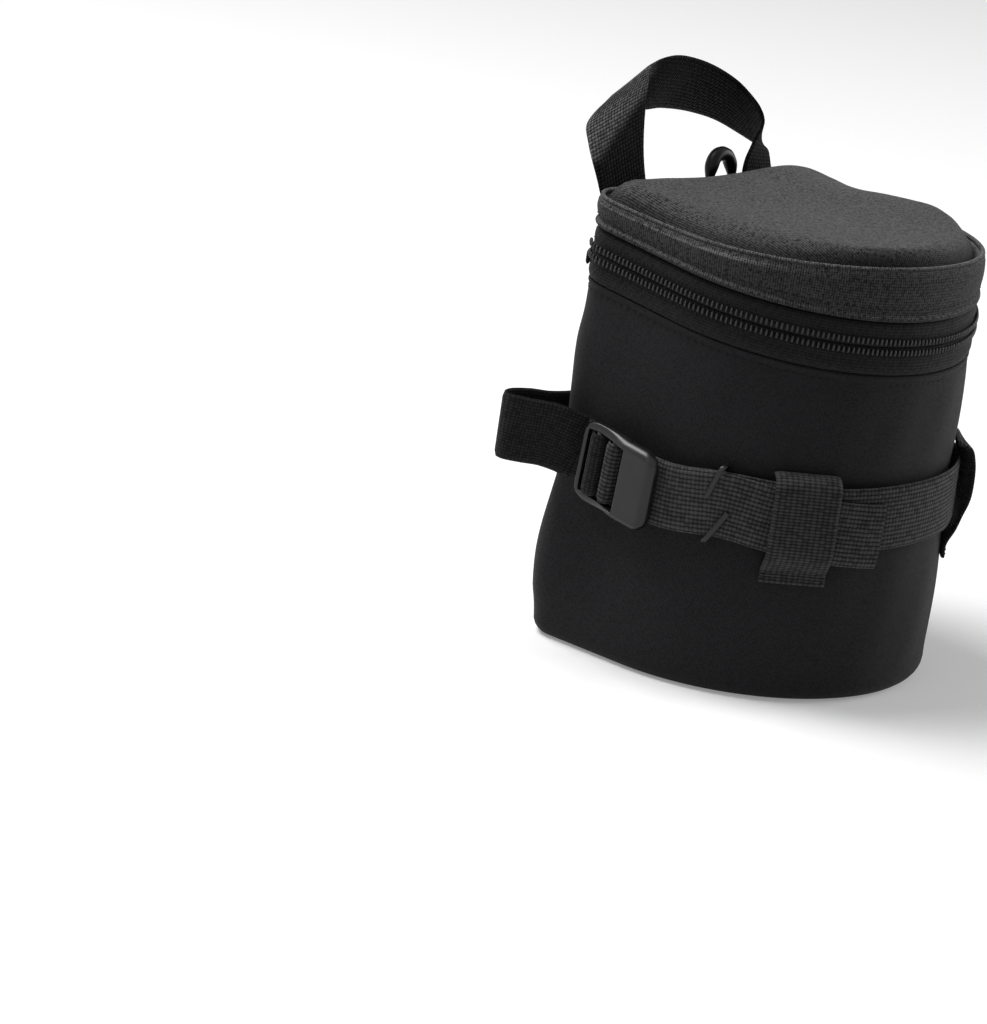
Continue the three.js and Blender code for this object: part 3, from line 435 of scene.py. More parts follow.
# %% Weave and wear groups
def weave_group():
    inputs = [("Cloth", "NodeSocketVector")]
    inputs += [(label, "NodeSocketFloat") for label in ("Warp pitch", "Weft pitch", "Step", "Rib")]
    tree, given, result = new_group("weave", inputs, ["Height", "Tone"])

    def times(a, b):
        return calc(tree, "MULTIPLY", a, b)

    def plus(a, b):
        return calc(tree, "ADD", a, b)

    place = node(tree, "ShaderNodeSeparateXYZ", {0: given["Cloth"]}).outputs
    warp = calc(tree, "DIVIDE", place["X"], given["Warp pitch"])
    weft = calc(tree, "DIVIDE", place["Y"], given["Weft pitch"])
    column, line = calc(tree, "FLOOR", warp), calc(tree, "FLOOR", weft)
    order = calc(tree, "FLOORED_MODULO", plus(column, line), given["Step"])
    over = calc(tree, "LESS_THAN", order, times(given["Step"], 0.5))
    round_warp = calc(tree, "SINE", times(calc(tree, "FRACT", warp), np.pi))
    round_weft = calc(tree, "SINE", times(calc(tree, "FRACT", weft), np.pi))
    high = times(over, round_warp)
    low = times(calc(tree, "SUBTRACT", 1.0, over), times(round_weft, 0.7))
    crossed = times(plus(plus(high, low), times(round_warp, round_weft)), 0.5)
    ribbed = times(round_weft, plus(0.55, times(round_warp, 0.45)))
    choice = {"Factor": given["Rib"], 2: crossed, 3: ribbed}
    height = node(tree, "ShaderNodeMix", choice, data_type="FLOAT").outputs[0]
    tree.links.new(height, result["Height"])
    cell = node(tree, "ShaderNodeCombineXYZ", {"X": column, "Y": line}).outputs[0]
    spot = node(tree, "ShaderNodeTexWhiteNoise", {"Vector": cell}, noise_dimensions="2D")
    tree.links.new(spot.outputs["Value"], result["Tone"])
    return tree


def wear_group():
    inputs = [("Place", "NodeSocketVector"), ("Size", "NodeSocketFloat")]
    tree, given, result = new_group("wear", inputs, ["Patch"])
    cloud = noise(tree, given["Place"], calc(tree, "DIVIDE", 1.0, given["Size"]), 3.0)
    tree.links.new(remap(tree, cloud, 0.0, 1.0, 0.3, 0.7), result["Patch"])
    return tree


WEAVE, WEAR = weave_group(), wear_group()
print("groups:", WEAVE.name, WEAR.name)

# %% [markdown]
# ## Finishes
#
# The whole pouch is black, so the finishes differ in thread size, sheen and gloss rather than in
# colour. Each cloth mixes a darker colour between the threads with a lighter one on top of them. One
# plain black would be quicker, but then the strap, the lid and the wall couldn't be told apart.

# %% How a cloth is made up
CLOTH_PATCH, PLASTIC_PATCH = 0.03, 0.004
CLOTH_GRAIN, PLASTIC_GRAIN = 1200.0, 2500.0


def mix_colour(tree, share, dark, light):
    made = node(tree, "ShaderNodeMix", {"Factor": share}, data_type="RGBA")
    for socket, colour in ((made.inputs[6], dark), (made.inputs[7], light)):
        if isinstance(colour, bpy.types.NodeSocket):
            tree.links.new(colour, socket)
        else:
            socket.default_value = (*colour, 1)
    return made.outputs[2]


def begin(name, **constants):
    material = bpy.data.materials.new(name)
    material.use_nodes = True
    tree = material.node_tree
    tree.nodes.clear()
    shader = node(tree, "ShaderNodeBsdfPrincipled")
    node(tree, "ShaderNodeOutputMaterial", {"Surface": shader.outputs[0]})
    for label, value in constants.items():
        shader.inputs[label.replace("_", " ")].default_value = value
    return material, tree, shader


def finish_surface(tree, shader, colour, gloss, height, depth):
    """Link colour, roughness and a bump of a depth in millimetres to the shader."""
    tree.links.new(colour, shader.inputs["Base Color"])
    tree.links.new(gloss, shader.inputs["Roughness"])
    bump = node(tree, "ShaderNodeBump", {"Height": height, "Distance": depth * MM})
    tree.links.new(bump.outputs[0], shader.inputs["Normal"])


def cloth(
    name, dark, light, warp, weft, step, relief, rib=0.0, fleck=0.0, painted_shade=0.0, shine=0.12, painted_light=""
):
    """A woven cloth: colours between and on its threads, warp and weft pitch, repeat and relief.

    Sizes are in millimetres. Rib is the share of ribs along it, and fleck an uneven tone of its threads.
    Painted light: the cloth is painted darker where it faces sideways than where it faces up, as painted
    shade standing in for light from above, by the share given after fleck. The last argument names an
    attribute of painted light and shade, from 0 to 1, that takes the place of facing up.
    """
    material, tree, shader = begin(
        name, Specular_IOR_Level=shine, Sheen_Weight=0.05, Sheen_Roughness=0.4
    )
    place = node(tree, "ShaderNodeUVMap", uv_map="Cloth").outputs[0]
    links = {"Cloth": place, "Warp pitch": warp * MM, "Weft pitch": weft * MM}
    links |= {"Step": float(step), "Rib": rib}
    threads = node(tree, "ShaderNodeGroup", links, node_tree=WEAVE).outputs
    where = node(tree, "ShaderNodeTexCoord").outputs
    links = {"Place": where["Object"], "Size": CLOTH_PATCH}
    patch = node(tree, "ShaderNodeGroup", links, node_tree=WEAR).outputs["Patch"]
    tone = calc(tree, "MULTIPLY", threads["Height"], calc(tree, "ADD", 0.7, threads["Tone"]))
    dusty = calc(tree, "ADD", tone, calc(tree, "MULTIPLY", patch, 0.1))
    fine = noise(tree, where["Object"], CLOTH_GRAIN, 1.0)
    uneven = calc(tree, "MULTIPLY", calc(tree, "SUBTRACT", fine, 0.5), fleck)
    mottled = calc(tree, "ADD", dusty, uneven)
    if painted_light:
        lit_share = node(tree, "ShaderNodeAttribute", attribute_name=painted_light).outputs["Fac"]
    else:
        facing = node(tree, "ShaderNodeSeparateXYZ", {0: where["Normal"]}).outputs["Z"]
        lit_share = remap(tree, facing, 0.0, 1.0, 0.1, 0.9)
    # Painted shade: where the lit share is low, the colour is pulled towards the dark thread colour
    settled = remap(tree, lit_share, 1 - painted_shade, 1.0)
    woven = mix_colour(tree, mottled, dark, light)
    colour = mix_colour(tree, settled, dark, woven)
    finish_surface(tree, shader, colour, remap(tree, tone, 0.95, 0.7), threads["Height"], relief)
    return material


print("worn patches of cloth are about", CLOTH_PATCH, "m wide")


# %% Cloths of the pouch
def grey(level, blue=0.0):
    return (level, level, level * (1 + blue))


shell_nylon = cloth("shell_nylon", grey(0.004, 0.1), grey(0.0165, 0.12), 0.42, 0.42, 2, 0.05)
# The twills, the strap, the loops and the carrying loop are painted darker where they face sideways than
# where they face up, as painted light from above; the lid top and the carrying loop take this painted
# light and shade from an attribute instead.
TWILL = {"warp": 0.75, "weft": 0.62, "step": 3}
lid_twill = cloth(
    "lid_twill", grey(0.006), grey(0.094), relief=0.2, fleck=2.4, painted_shade=0.65, painted_light="PaintedLight", **TWILL
)
band_twill = cloth(
    "band_twill", grey(0.005), grey(0.15), relief=0.18, fleck=2.2, painted_shade=0.75, **TWILL
)
strap_weave = cloth(
    "strap_weave", grey(0.002), grey(0.074), 1.3, 1.3, 2, 0.3, rib=0.7, painted_shade=0.3, shine=0.08
)
anchor_weave = cloth("anchor_weave", grey(0.003), grey(0.02), 0.9, 1.0, 2, 0.2, shine=0.08)
loop_weave = cloth(
    "loop_weave", grey(0.002), grey(0.08), 1.7, 0.95, 2, 0.3, rib=0.45, painted_shade=0.5, shine=0.08
)
handle_weave = cloth(
    "handle_weave", grey(0.001), grey(0.15), 1.2, 1.25, 2, 0.35, painted_shade=0.92, shine=0.03, painted_light="PaintedLight"
)
zip_cloth = cloth("zip_cloth", grey(0.003), grey(0.014), 0.6, 0.9, 4, 0.1)
binding_cloth = cloth("binding_cloth", grey(0.004), grey(0.016), 0.8, 0.5, 2, 0.1)
lining_cloth = cloth("lining_cloth", grey(0.045), grey(0.11), 0.5, 0.5, 4, 0.06)
foam_skin = cloth("foam_skin", grey(0.02), grey(0.035), 0.8, 0.8, 2, 0.1)
fastener_cloth = cloth("fastener_cloth", grey(0.003), grey(0.012), 0.7, 0.7, 2, 0.2)
print("materials with the cloths:", len(bpy.data.materials))


# %% Plastic, thread and metal
def moulded(name, colour, rough, shine=0.3, metallic=0.0, grain=0.02, patch=0.3):
    """Moulded plastic or lacquered metal with a fine grain and slightly uneven gloss."""
    material, tree, shader = begin(name, Metallic=metallic, Specular_IOR_Level=shine)
    spot = node(tree, "ShaderNodeTexCoord").outputs["Object"]
    links = {"Place": spot, "Size": PLASTIC_PATCH}
    wear = node(tree, "ShaderNodeGroup", links, node_tree=WEAR).outputs["Patch"]
    rubbed = tuple(c * (1 + patch) + 0.002 for c in colour)
    fine = noise(tree, spot, PLASTIC_GRAIN, 1.0)
    mixed = mix_colour(tree, wear, colour, rubbed)
    finish_surface(tree, shader, mixed, remap(tree, wear, rough, rough + 0.08), fine, grain)
    return material


thread = moulded("thread", grey(0.006), 0.6, shine=0.12, grain=0.03)
bristle = moulded("bristle", grey(0.01), 0.45)
coil_plastic = moulded("coil_plastic", grey(0.012), 0.36, shine=0.4)
satin_plastic = moulded("satin_plastic", grey(0.0045), 0.26, shine=0.35, grain=0.003)
ring_plastic = moulded("ring_plastic", grey(0.003), 0.3, shine=0.12)
black_metal = moulded("black_metal", grey(0.05), 0.3, shine=0.5, metallic=0.9)
print("materials with the plastics and metals:", len(bpy.data.materials))


# %% Dressing a finished piece
def dress(made, material, body, slot, *replaced):
    """Give a finished piece its material, its body and the solids that it stands for."""
    made.data.materials.clear()
    made.data.materials.append(material)
    if body:
        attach(made, body)
    if replaced:
        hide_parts(*replaced)
    return made


# %% [markdown]
# ## The case
#
# The wall is one long cloth panel bent round the front. Foam behind it keeps it round, yet it isn't a
# cylinder: the strap draws it in, the lower half swells, and slow folds run down from the zip. A cloth
# simulation could find such folds, but here they have to lie where the real ones are, so they are added
# to the outline as a soft offset. The top edge is turned over into a hem, and the lower edge rolls
# under to the base.

# %% Soft wall
STRAP_Z = 58.8
STRAP_PINCH, PINCH_REACH = 0.75, 13
# Swells are (height of the middle, reach up and down, how far out)
SWELLS = [(88, 14, 0.5), (27, 15, 0.7)]
BACK_SWELLS = [(24, 20, 2.0), (92, 10, 0.6)]
# Each kind of fold has a depth and a number of waves in a full turn
LONG_FOLD, LONG_WAVES = 0.22, 7
SHORT_FOLD, SHORT_WAVES = 0.12, 17
FOLD_UNDER_STRAP = 0.1


def swollen(z, swells):
    return sum(out * bell(z - middle, reach) for middle, reach, out in swells)


def soft(place, z):
    """How far the cloth stands out from the solid's wall. Place is the outline's own points."""
    x, y = place[:, 0], place[:, 1]
    turn = np.arctan2(x, -y)
    under_strap = bell(z - STRAP_Z, PINCH_REACH)
    beside_back = smooth((y - 8) / 26)
    out = swollen(z, SWELLS) + beside_back * swollen(z, BACK_SWELLS) - STRAP_PINCH * under_strap
    long_folds = LONG_FOLD * np.sin(turn * LONG_WAVES + 0.02 * z) * np.sin(z / 17 + 2 * turn)
    short_folds = SHORT_FOLD * np.sin(turn * SHORT_WAVES - z / 11)
    out = out + (long_folds + short_folds) * (1 - (1 - FOLD_UNDER_STRAP) * under_strap)
    off_edges = smooth((z - 3) / 12) * smooth((RIM - 4 - z) / 14 + 0.3)
    flat_back = smooth((y - 30) / 5) * (1 - smooth((np.abs(x) - wall_half(z) + CORNER) / 6))
    return out * off_edges * (1 - flat_back)


def rounded_foot(stations, floor, radius, outset, count):
    """Rows that turn from a floor up into a wall."""
    rows = []
    for angle in np.linspace(np.pi / 2, 0, count):
        level = at_height(floor + radius * (1 - np.sin(angle)))
        rows.append(ring(stations, level, outset + radius * (np.cos(angle) - 1)))
    return rows


def wall_rows(stations, top, count=56):
    """Rows from the base edge up to a top level."""
    rows = rounded_foot(stations, 0, BASE_EDGE, 0, 7)
    for share in np.linspace(0, 1, count + 1)[1:]:
        level = between(at_height(BASE_EDGE), top, share)
        plain = ring(stations, level)
        rows.append(ring(stations, level, soft(plain, plain[:, 2])))
    return rows


print("the strap draws the wall in at", STRAP_Z, "mm")

# %% Wall, base and back
SHELL = 0.9
HEM_EDGE = [(-1.0, 0.35), (-0.4, 0.5), (0.0, 0.2), (0.1, -0.3)]
BASE_DISH = 0.8
BASE_SHARES = (1, 0.97, 0.9, 0.8, 0.65, 0.45, 0.2)
HINGE_REACH, BACK_FOLD = 3, 6


def build_wall():
    rows = wall_rows(WALL, raised(rim_z, -1.6))
    rows += [ring(WALL, raised(rim_z, rise), out) for rise, out in HEM_EDGE]
    made = thicken(skin("case_wall", rows), SHELL)
    return dress(made, shell_nylon, "case", "shell_fabric", "outer_wall")


def build_base():
    edge = ring(LOOP, at_height(0.0), -BASE_EDGE - 0.25)
    middle = np.array([0, CENTRE_Y, 0])
    rows = [middle + (edge - middle) * s + [0, 0, BASE_DISH * (1 - s**4)] for s in BASE_SHARES]
    made = skin("case_base", rows, closed=True, flip=True, caps=(False, True))
    return dress(thicken(made, SHELL), shell_nylon, "case", "shell_fabric", "base_panel")


def back_stations(count):
    share = np.linspace(-1, 1, count)
    zero = np.zeros(count)
    return np.stack([share, zero, -share * CORNER, zero + BACK_Y, zero, zero + 1], 1)


def build_back():
    stations = back_stations(49)
    fold = at_height(HINGE_Z - BACK_FOLD)
    rows = wall_rows(stations, fold, 50)
    for share in np.linspace(0, 1, 25)[1:]:
        rows.append(ring(stations, between(fold, raised(lid_seam_z, -0.6), share)))
    made = thicken(skin("back_cloth", rows), SHELL)
    made = dress(made, shell_nylon, None, "shell_fabric", "back_panel", "lid_back_strip")
    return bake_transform(made)


case_wall, case_base, back_cloth = build_wall(), build_base(), build_back()
print("case wall quads:", len(case_wall.data.polygons))

# %% [markdown]
# ## Padding, lining and binding
#
# Between the outer cloth and the grey lining lies foam, and a binding tape covers it at the mouth. A
# plain inner wall could stand for it, but the foam gives the case its shape, so it is there: a closed
# foam cup, a lining inside it and the tape over the top. All three follow the same outline, further in.

# %% Foam cup, lining and mouth binding
FOAM_OUT, FOAM_IN, LINING_IN = -1.5, -6.0, -7.1
FOAM_FLOOR, FOAM_TOP, LINING_FLOOR = 1.6, 6.1, 6.3
OUTER_FOOT, INNER_FOOT = 4.0, 3.0
LINING = 0.7
TAPE_RISE, TAPE_TALL = 0.95, 0.8


def cup_rows(outset, floor, radius, top):
    """Rings from the floor's edge up a rounded edge to the top."""
    rows = rounded_foot(LOOP, floor, radius, outset, 5)
    for share in np.linspace(0, 1, 19)[1:]:
        rows.append(ring(LOOP, between(at_height(floor + radius), top, share), outset))
    return rows


def rolled(name, level, out, wide, rise, tall, count):
    """A round roll of cloth that follows the whole closed outline at a level."""
    rows = []
    for angle in np.linspace(0, 2 * np.pi, count):
        height = raised(level, rise + tall * np.sin(angle))
        rows.append(ring(LOOP, height, out + wide * np.cos(angle)))
    return tidy(skin(name, rows, closed=True))


def build_padding():
    outer = cup_rows(FOAM_OUT, FOAM_FLOOR, OUTER_FOOT, raised(rim_z, -0.2))
    inner = cup_rows(FOAM_IN, FOAM_TOP, INNER_FOOT, raised(rim_z, -0.2))
    made = skin("case_foam", outer + inner[::-1], closed=True, caps=(True, True))
    dress(made, foam_skin, "case", "padding", "wall_foam", "base_foam")
    return made


def build_lining():
    rows = cup_rows(LINING_IN + LINING, LINING_FLOOR, INNER_FOOT, raised(rim_z, -0.1))
    made = skin("case_lining", rows, closed=True, caps=(True, False))
    return dress(thicken(made, LINING), lining_cloth, "case", "lining", "wall_lining", "base_lining")


def build_binding():
    middle, half = (FOAM_OUT + LINING_IN) / 2, (FOAM_OUT - LINING_IN) / 2
    made = rolled("mouth_tape", rim_z, middle, half, TAPE_RISE, TAPE_TALL, 15)
    return dress(made, binding_cloth, "case", "webbing", "mouth_binding")


case_foam, case_lining, mouth_tape = build_padding(), build_lining(), build_binding()
print("foam quads:", len(case_foam.data.polygons))

# %% [markdown]
# ## The lid
#
# The lid is a side band and a padded top. The band's lower edge is a thin rolled hem above the zip. Its
# upper edge rolls over, and the top panel starts in the groove behind that roll, climbs steeply and
# then lies nearly flat, because the foam under it fills it evenly. A cushion from a pressure simulation
# would bulge to a dome, so the crown is written as a climb from the edge, with the places where it
# droops or stands fuller.

# %% Lid band and edge roll
LID_CLOTH = 0.8
GROOVE = -2.1
# Both rows are (out, rise), from the zip edge and from the seam
BAND_HEM = [(-0.5, 0.9), (0.0, 0.15), (0.6, 0.0), (1.15, 0.3), (1.3, 0.85), (1.05, 1.4)]
BAND_HEM += [(0.6, 1.75), (0.5, 2.3)]
BAND_ROLL = [(1.15, -1.9), (1.05, -1.1), (0.75, -0.5), (0.2, -0.2), (-0.5, -0.5), (GROOVE, -1.7)]


def build_band():
    hem_out, hem_rise = BAND_HEM[-1]
    profile = [(0, out, rise) for out, rise in BAND_HEM]
    for share in np.linspace(0.12, 0.8, 7):
        swell = 0.75 * np.sin(np.pi * share) ** 0.8
        profile.append((share, hem_out + swell + 0.4 * share, hem_rise * (1 - share)))
    profile += [(1, out, rise) for out, rise in BAND_ROLL]
    rows = []
    for share, out, rise in profile:
        rows.append(ring(WALL, between(lid_edge_z, lid_seam_z, share, rise), out))
    made = thicken(skin("lid_band", rows), LID_CLOTH)
    return dress(made, band_twill, "lid", "lid_fabric", "lid_side_band")


def build_edge_roll():
    """The rolled edge that runs round the whole top seam."""
    made = rolled("lid_edge_roll", lid_seam_z, out=0.15, wide=0.8, rise=0.05, tall=0.75, count=13)
    return dress(made, band_twill, "lid", "lid_fabric")


lid_band, lid_edge_roll = build_band(), build_edge_roll()
print("lid band quads:", len(lid_band.data.polygons))

# %% Crown of the lid
# Settled places are (rise, middle, size): two droop at the right back, and two stand fuller
SETTLED = [(-2.0, (46, 24), (9, 9)), (-0.9, (45, 11), (8, 7))]
SETTLED += [(1.6, (44, -19), (16, 15)), (1.0, (8, 31), (26, 7))]
# Steep places are (how steep, turn from the front in degrees, width in degrees)
STEEP_PLACES = [(1, -20, 36), (0.4, -126, 20), (0.5, 58, 28), (0.3, 126, 24)]
# Length and power of the climb, and how much each changes in the steepest place
CLIMB_REACH, STEEP_REACH = 14, -9.5
CLIMB_POWER, STEEP_POWER = 2.2, 1.3
BACK_OUT = 1.2
DISH = 0.6


def slump(x, y):
    return sum(rise * hump(x, y, at, size) for rise, at, size in SETTLED)


def crown(inset, rise, height, shares, steep=0.0):
    """Rings of a padded panel that climbs near its edge and then lies nearly flat.

    With steep, the climb is shorter in the steep places, and the back edge stands further out.
    """
    edge = ring(LOOP, lid_seam_z, inset)
    edge = ring(LOOP, lid_seam_z, inset + BACK_OUT * steep * smooth((edge[:, 1] - 12) / 18))
    turn = np.degrees(np.arctan2(edge[:, 0], -edge[:, 1]))
    abrupt = sum(share * bell(turn - at, width) for share, at, width in STEEP_PLACES) * steep
    reach, power = CLIMB_REACH + STEEP_REACH * abrupt, CLIMB_POWER + STEEP_POWER * abrupt
    middle = np.array([0, CENTRE_Y])
    rows = []
    for share in shares:
        flat = middle + (edge[:, :2] - middle) * share
        inward = (1 - share) * np.linalg.norm(edge[:, :2] - middle, axis=1)
        climb = height * (1 - (1 - np.clip(inward / reach, 0, 1)) ** power)
        settled = slump(*flat.T) * smooth(inward / 7) - DISH * (1 - share) ** 2
        rows.append(np.column_stack([flat, lid_seam_z(*flat.T) + rise + climb + settled]))
    return rows


print("settled places of the lid:", len(SETTLED))

# %% Top panel of the lid
# Shares of the way from the middle of the top to its edge
SHARES = [1, 0.995, 0.988, 0.975, 0.955, 0.93, 0.9, 0.86, 0.82, 0.77, 0.71, 0.64, 0.56, 0.47]
SHARES += [0.37, 0.26, 0.14, 0.05]
# Width of the painted shade in the crease along the seam, and how softly it ends
PAINTED_SEAM_SHADE, PAINTED_SEAM_SHADE_FADE = 4.2, 2.6


def spread_cloth(made, grid, steps):
    """Map the top panel by the length of cloth from its middle, so that no thread is stretched."""
    away = unit(grid[0, :, :2] - [0, CENTRE_Y])
    first = np.linalg.norm(grid[-1, :, :2] - [0, CENTRE_Y], axis=1)
    reach = first + np.concatenate([np.cumsum(steps[::-1], 0)[::-1], 0 * first[None]])
    spread = np.concatenate([(away * reach[..., None]).reshape(-1, 2), [(0, 0)]]) * MM
    for loop, uv in zip(made.data.loops, made.data.uv_layers["Cloth"].data):
        uv.uv = spread[loop.vertex_index]


def mark_painted_light(made, values):
    """Store painted light and shade at each vertex, from 0 for shade to 1 for light, for a material to
    read.
    """
    made.data.attributes.new("PaintedLight", "FLOAT", "POINT").data.foreach_set("value", values)


def build_top():
    rows = crown(inset=-1.8, rise=-2.3, height=7.8, shares=SHARES, steep=1.0)
    made = skin("lid_top", rows, closed=True, caps=(False, True))
    grid = np.array(rows)
    steps = np.linalg.norm(np.diff(grid, axis=0), axis=2)
    spread_cloth(made, grid, steps)
    # Painted light and shade: the panel is painted lighter where it lies level, as light from above, and
    # darker near the seam, as painted shade in the crease.
    level = np.linalg.norm(np.diff(grid[:, :, :2], axis=0), axis=2) / steps
    level = np.concatenate([level[:1], level])
    from_seam = np.concatenate([0 * steps[:1], np.cumsum(steps, 0)])
    painted_light = np.clip((level - 0.1) / 0.8, 0, 1) * smooth((from_seam - PAINTED_SEAM_SHADE) / PAINTED_SEAM_SHADE_FADE)
    mark_painted_light(made, np.append(painted_light, 1))
    dress(thicken(made, LID_CLOTH), lid_twill, "lid", "lid_fabric", "lid_top_panel")
    return made


lid_top = build_top()
print("lid top quads:", len(lid_top.data.polygons))


# %% Foam and lining of the lid
def build_lid_inside():
    over = crown(inset=-2.9, rise=-2.6, height=6.6, shares=SHARES[::2])
    under = crown(inset=-2.9, rise=-5.0, height=4.4, shares=SHARES[::2])
    foam = skin("lid_pad", under[::-1] + over, closed=True, caps=(True, True))
    dress(tidy(foam), foam_skin, "lid", "padding", "lid_foam")
    brim = [ring(LOOP, raised(lid_edge_z, rise), -1.8) for rise in (0.2, 0.7)]
    roof = crown(inset=-1.8, rise=-6.0, height=4.2, shares=SHARES[::2])
    made = skin("lid_inner", brim + roof, closed=True, flip=True, caps=(False, True))
    dress(thicken(made, -LINING), lining_cloth, "lid", "lining", "lid_lining")
    return foam, made


lid_pad, lid_inner = build_lid_inside()
print("lid lining quads:", len(lid_inner.data.polygons))

# %% [markdown]
# ## Zip tapes
#
# Two woven tapes close the gap between case and lid. Each lies almost flat, with a low ridge beside its
# row of stitches. One flat strip with a bump map could do from far away, but the ridge catches light,
# so it is in the rows. The teeth come later, as a row that repeats.

# %% Lower and upper tape
TAPE_CLOTH = 0.8
# Both rows are (share of the height, out)
LOWER = [(0, -0.3), (0.06, 0.4), (0.2, 0.8), (0.36, 0.85), (0.44, 0.6), (0.6, 0.55), (1, 0.6)]
UPPER = [(0, 0.6), (0.4, 0.6), (0.55, 0.75), (0.75, 0.6), (0.88, 0.15), (1, -0.7)]


def tape(name, low, high, profile, body, replaced):
    rows = [ring(WALL, between(low, high, share), out) for share, out in profile]
    made = thicken(skin(name, rows), TAPE_CLOTH)
    return dress(made, zip_cloth, body, "zip_tape", replaced)


rim, below = raised(rim_z, 0.3), raised(zip_z, -0.15)
above, edge = raised(zip_z, 0.15), raised(lid_edge_z, -0.2)
lower_tape = tape("lower_tape", rim, below, LOWER, "case", "zip_tape_lower")
upper_tape = tape("upper_tape", above, edge, UPPER, "lid", "zip_tape_upper")
print("tape quads:", len(lower_tape.data.polygons) + len(upper_tape.data.polygons))

# %% [markdown]
# ## Places on the wall
#
# The strap, its buckle and the front loops all lie a little off the wall. Their places could be typed
# as points, but then a change of the wall would leave them behind. So they are measured from the wall:
# by the azimuth round the front, where 0 is the front centre and positive is to the right, and by the
# distance out. At the buckle the strap leans, so places there are measured in the buckle's own
# directions.

# %% Places on the wall and in the buckle
WEB, WEB_WIDTH = 1.3, 20.0
INNER, OUTER, OVER = 2.05, 3.65, 5.25
TILT, PITCH = np.radians(8), np.radians(6)
BUCKLE_Y, BUCKLE_Z = 9.0, 59.0
BAR, BAR_OUT = 1.1, 5.7
UPRIGHT, SIDEWAYS = np.array([0, -np.sin(TILT), np.cos(TILT)]), np.array([-1.0, 0, 0])
BUCKLE_AT = np.array([-wall_half(BUCKLE_Z), BUCKLE_Y, BUCKLE_Z])
BUCKLE_ALONG = np.array([0, -np.cos(TILT), -np.sin(TILT)])
BUCKLE_ACROSS = UPRIGHT * np.cos(PITCH) + SIDEWAYS * np.sin(PITCH)
BUCKLE_OUT = SIDEWAYS * np.cos(PITCH) - UPRIGHT * np.sin(PITCH)
LEAN_FROM, LEAN_REACH = -62, 28
SLACK, SLACK_AT, SLACK_REACH = 1.3, -32, 26


def arc_outward(azimuth):
    return np.array([np.sin(np.radians(azimuth)), -np.cos(np.radians(azimuth)), 0])


def arc_tangent(azimuth):
    return np.array([np.cos(np.radians(azimuth)), np.sin(np.radians(azimuth)), 0])


def on_arc(azimuth, out, z):
    return (wall_half(z) + out) * arc_outward(azimuth) + [0, 0, z]


def wall_up(azimuth, share=1.0):
    return unit(np.array([0, 0, 1]) - share * BASE_FLARE / LID_SEAM * arc_outward(azimuth))


def in_buckle(along, out):
    lifted = SIDEWAYS * BAR_OUT + BUCKLE_OUT * (out - BAR_OUT)
    return BUCKLE_AT + BUCKLE_ALONG * along + lifted, BUCKLE_ACROSS


def on_strap(azimuth, out, sag=0.0):
    """A place on the strap and its direction across. It hangs slack in front and leans at the buckle."""
    lean = smooth((LEAN_FROM - azimuth) / LEAN_REACH)
    slack = SLACK * bell(azimuth - SLACK_AT, SLACK_REACH)
    level = on_arc(azimuth, out, STRAP_Z - sag - slack)
    z = level[2] + lean * (BUCKLE_Z + (level[1] - BUCKLE_Y) * np.tan(TILT) - level[2])
    upright = wall_up(azimuth, 1 - lean) * np.cos(TILT * lean)
    return on_arc(azimuth, out, z), upright + arc_tangent(azimuth) * np.sin(TILT * lean)


print("buckle at", BUCKLE_AT.round(1))

# %% [markdown]
# ## Side strap, anchor loop, keeper and front loops
#
# The webbing starts at a seam on the right, runs round the front, dips under the buckle, turns round
# the buckle's bar and comes back over itself as a tail. A short anchor loop holds the buckle's other
# bar. A split keeper and two front loops hold the strap to the wall. All of them are swept directly
# along their routes, because a flat strap has no volume for a simulation to fill.

# %% Side strap
# Places behind the right end of the arc, as (y, out)
STRAP_START = [(27, 0.95), (22, 1.5), (17, INNER), (6.75, INNER)]
WRAP = np.radians(262)
TAIL_END, TAIL_DROP = -16, 5
TAIL_HEM, TAIL_HEM_LENGTH = 0.7, 7.5


def build_strap():
    side = wall_half(STRAP_Z)
    stations = [(np.array([side + out, y, STRAP_Z]), wall_up(90)) for y, out in STRAP_START]
    stations += [on_strap(azimuth, INNER) for azimuth in np.linspace(90, -90, 25)]
    turn = BAR + 0.2 + WEB / 2
    stations += [in_buckle(4.5, INNER), in_buckle(turn, (INNER + BAR_OUT - turn) / 2)]
    for angle in -np.pi / 2 - np.linspace(0, 1, 10) * WRAP:
        stations.append(in_buckle(turn * np.cos(angle), BAR_OUT + turn * np.sin(angle)))
    for along, rise in ((2.3, 1.15), (3.2, 0.35), (5.2, 0)):
        stations.append(in_buckle(along, OUTER + rise))
    for azimuth in np.linspace(-90, TAIL_END, 13):
        sag = TAIL_DROP * max(azimuth - LEAN_FROM, 0) / (TAIL_END - LEAN_FROM)
        stations.append(on_strap(azimuth, OUTER, sag))
    edges = strip(stations, WEB_WIDTH - 0.6)
    to_end = np.arange(len(edges[0]))[::-1] * STRIP_STEP
    thickness = WEB + TAIL_HEM * smooth((TAIL_HEM_LENGTH - to_end) / 0.8)
    made = band("side_webbing", edges, thickness)
    return dress(made, strap_weave, "case", "webbing", "side_strap")


side_webbing = build_strap()
print("strap quads:", len(side_webbing.data.polygons))

# %% Anchor loop
ANCHOR_BAR = -6.2
SEWN_OUT = 0.95
ANCHOR_Z, ANCHOR_REACH = 65.9, 19.5


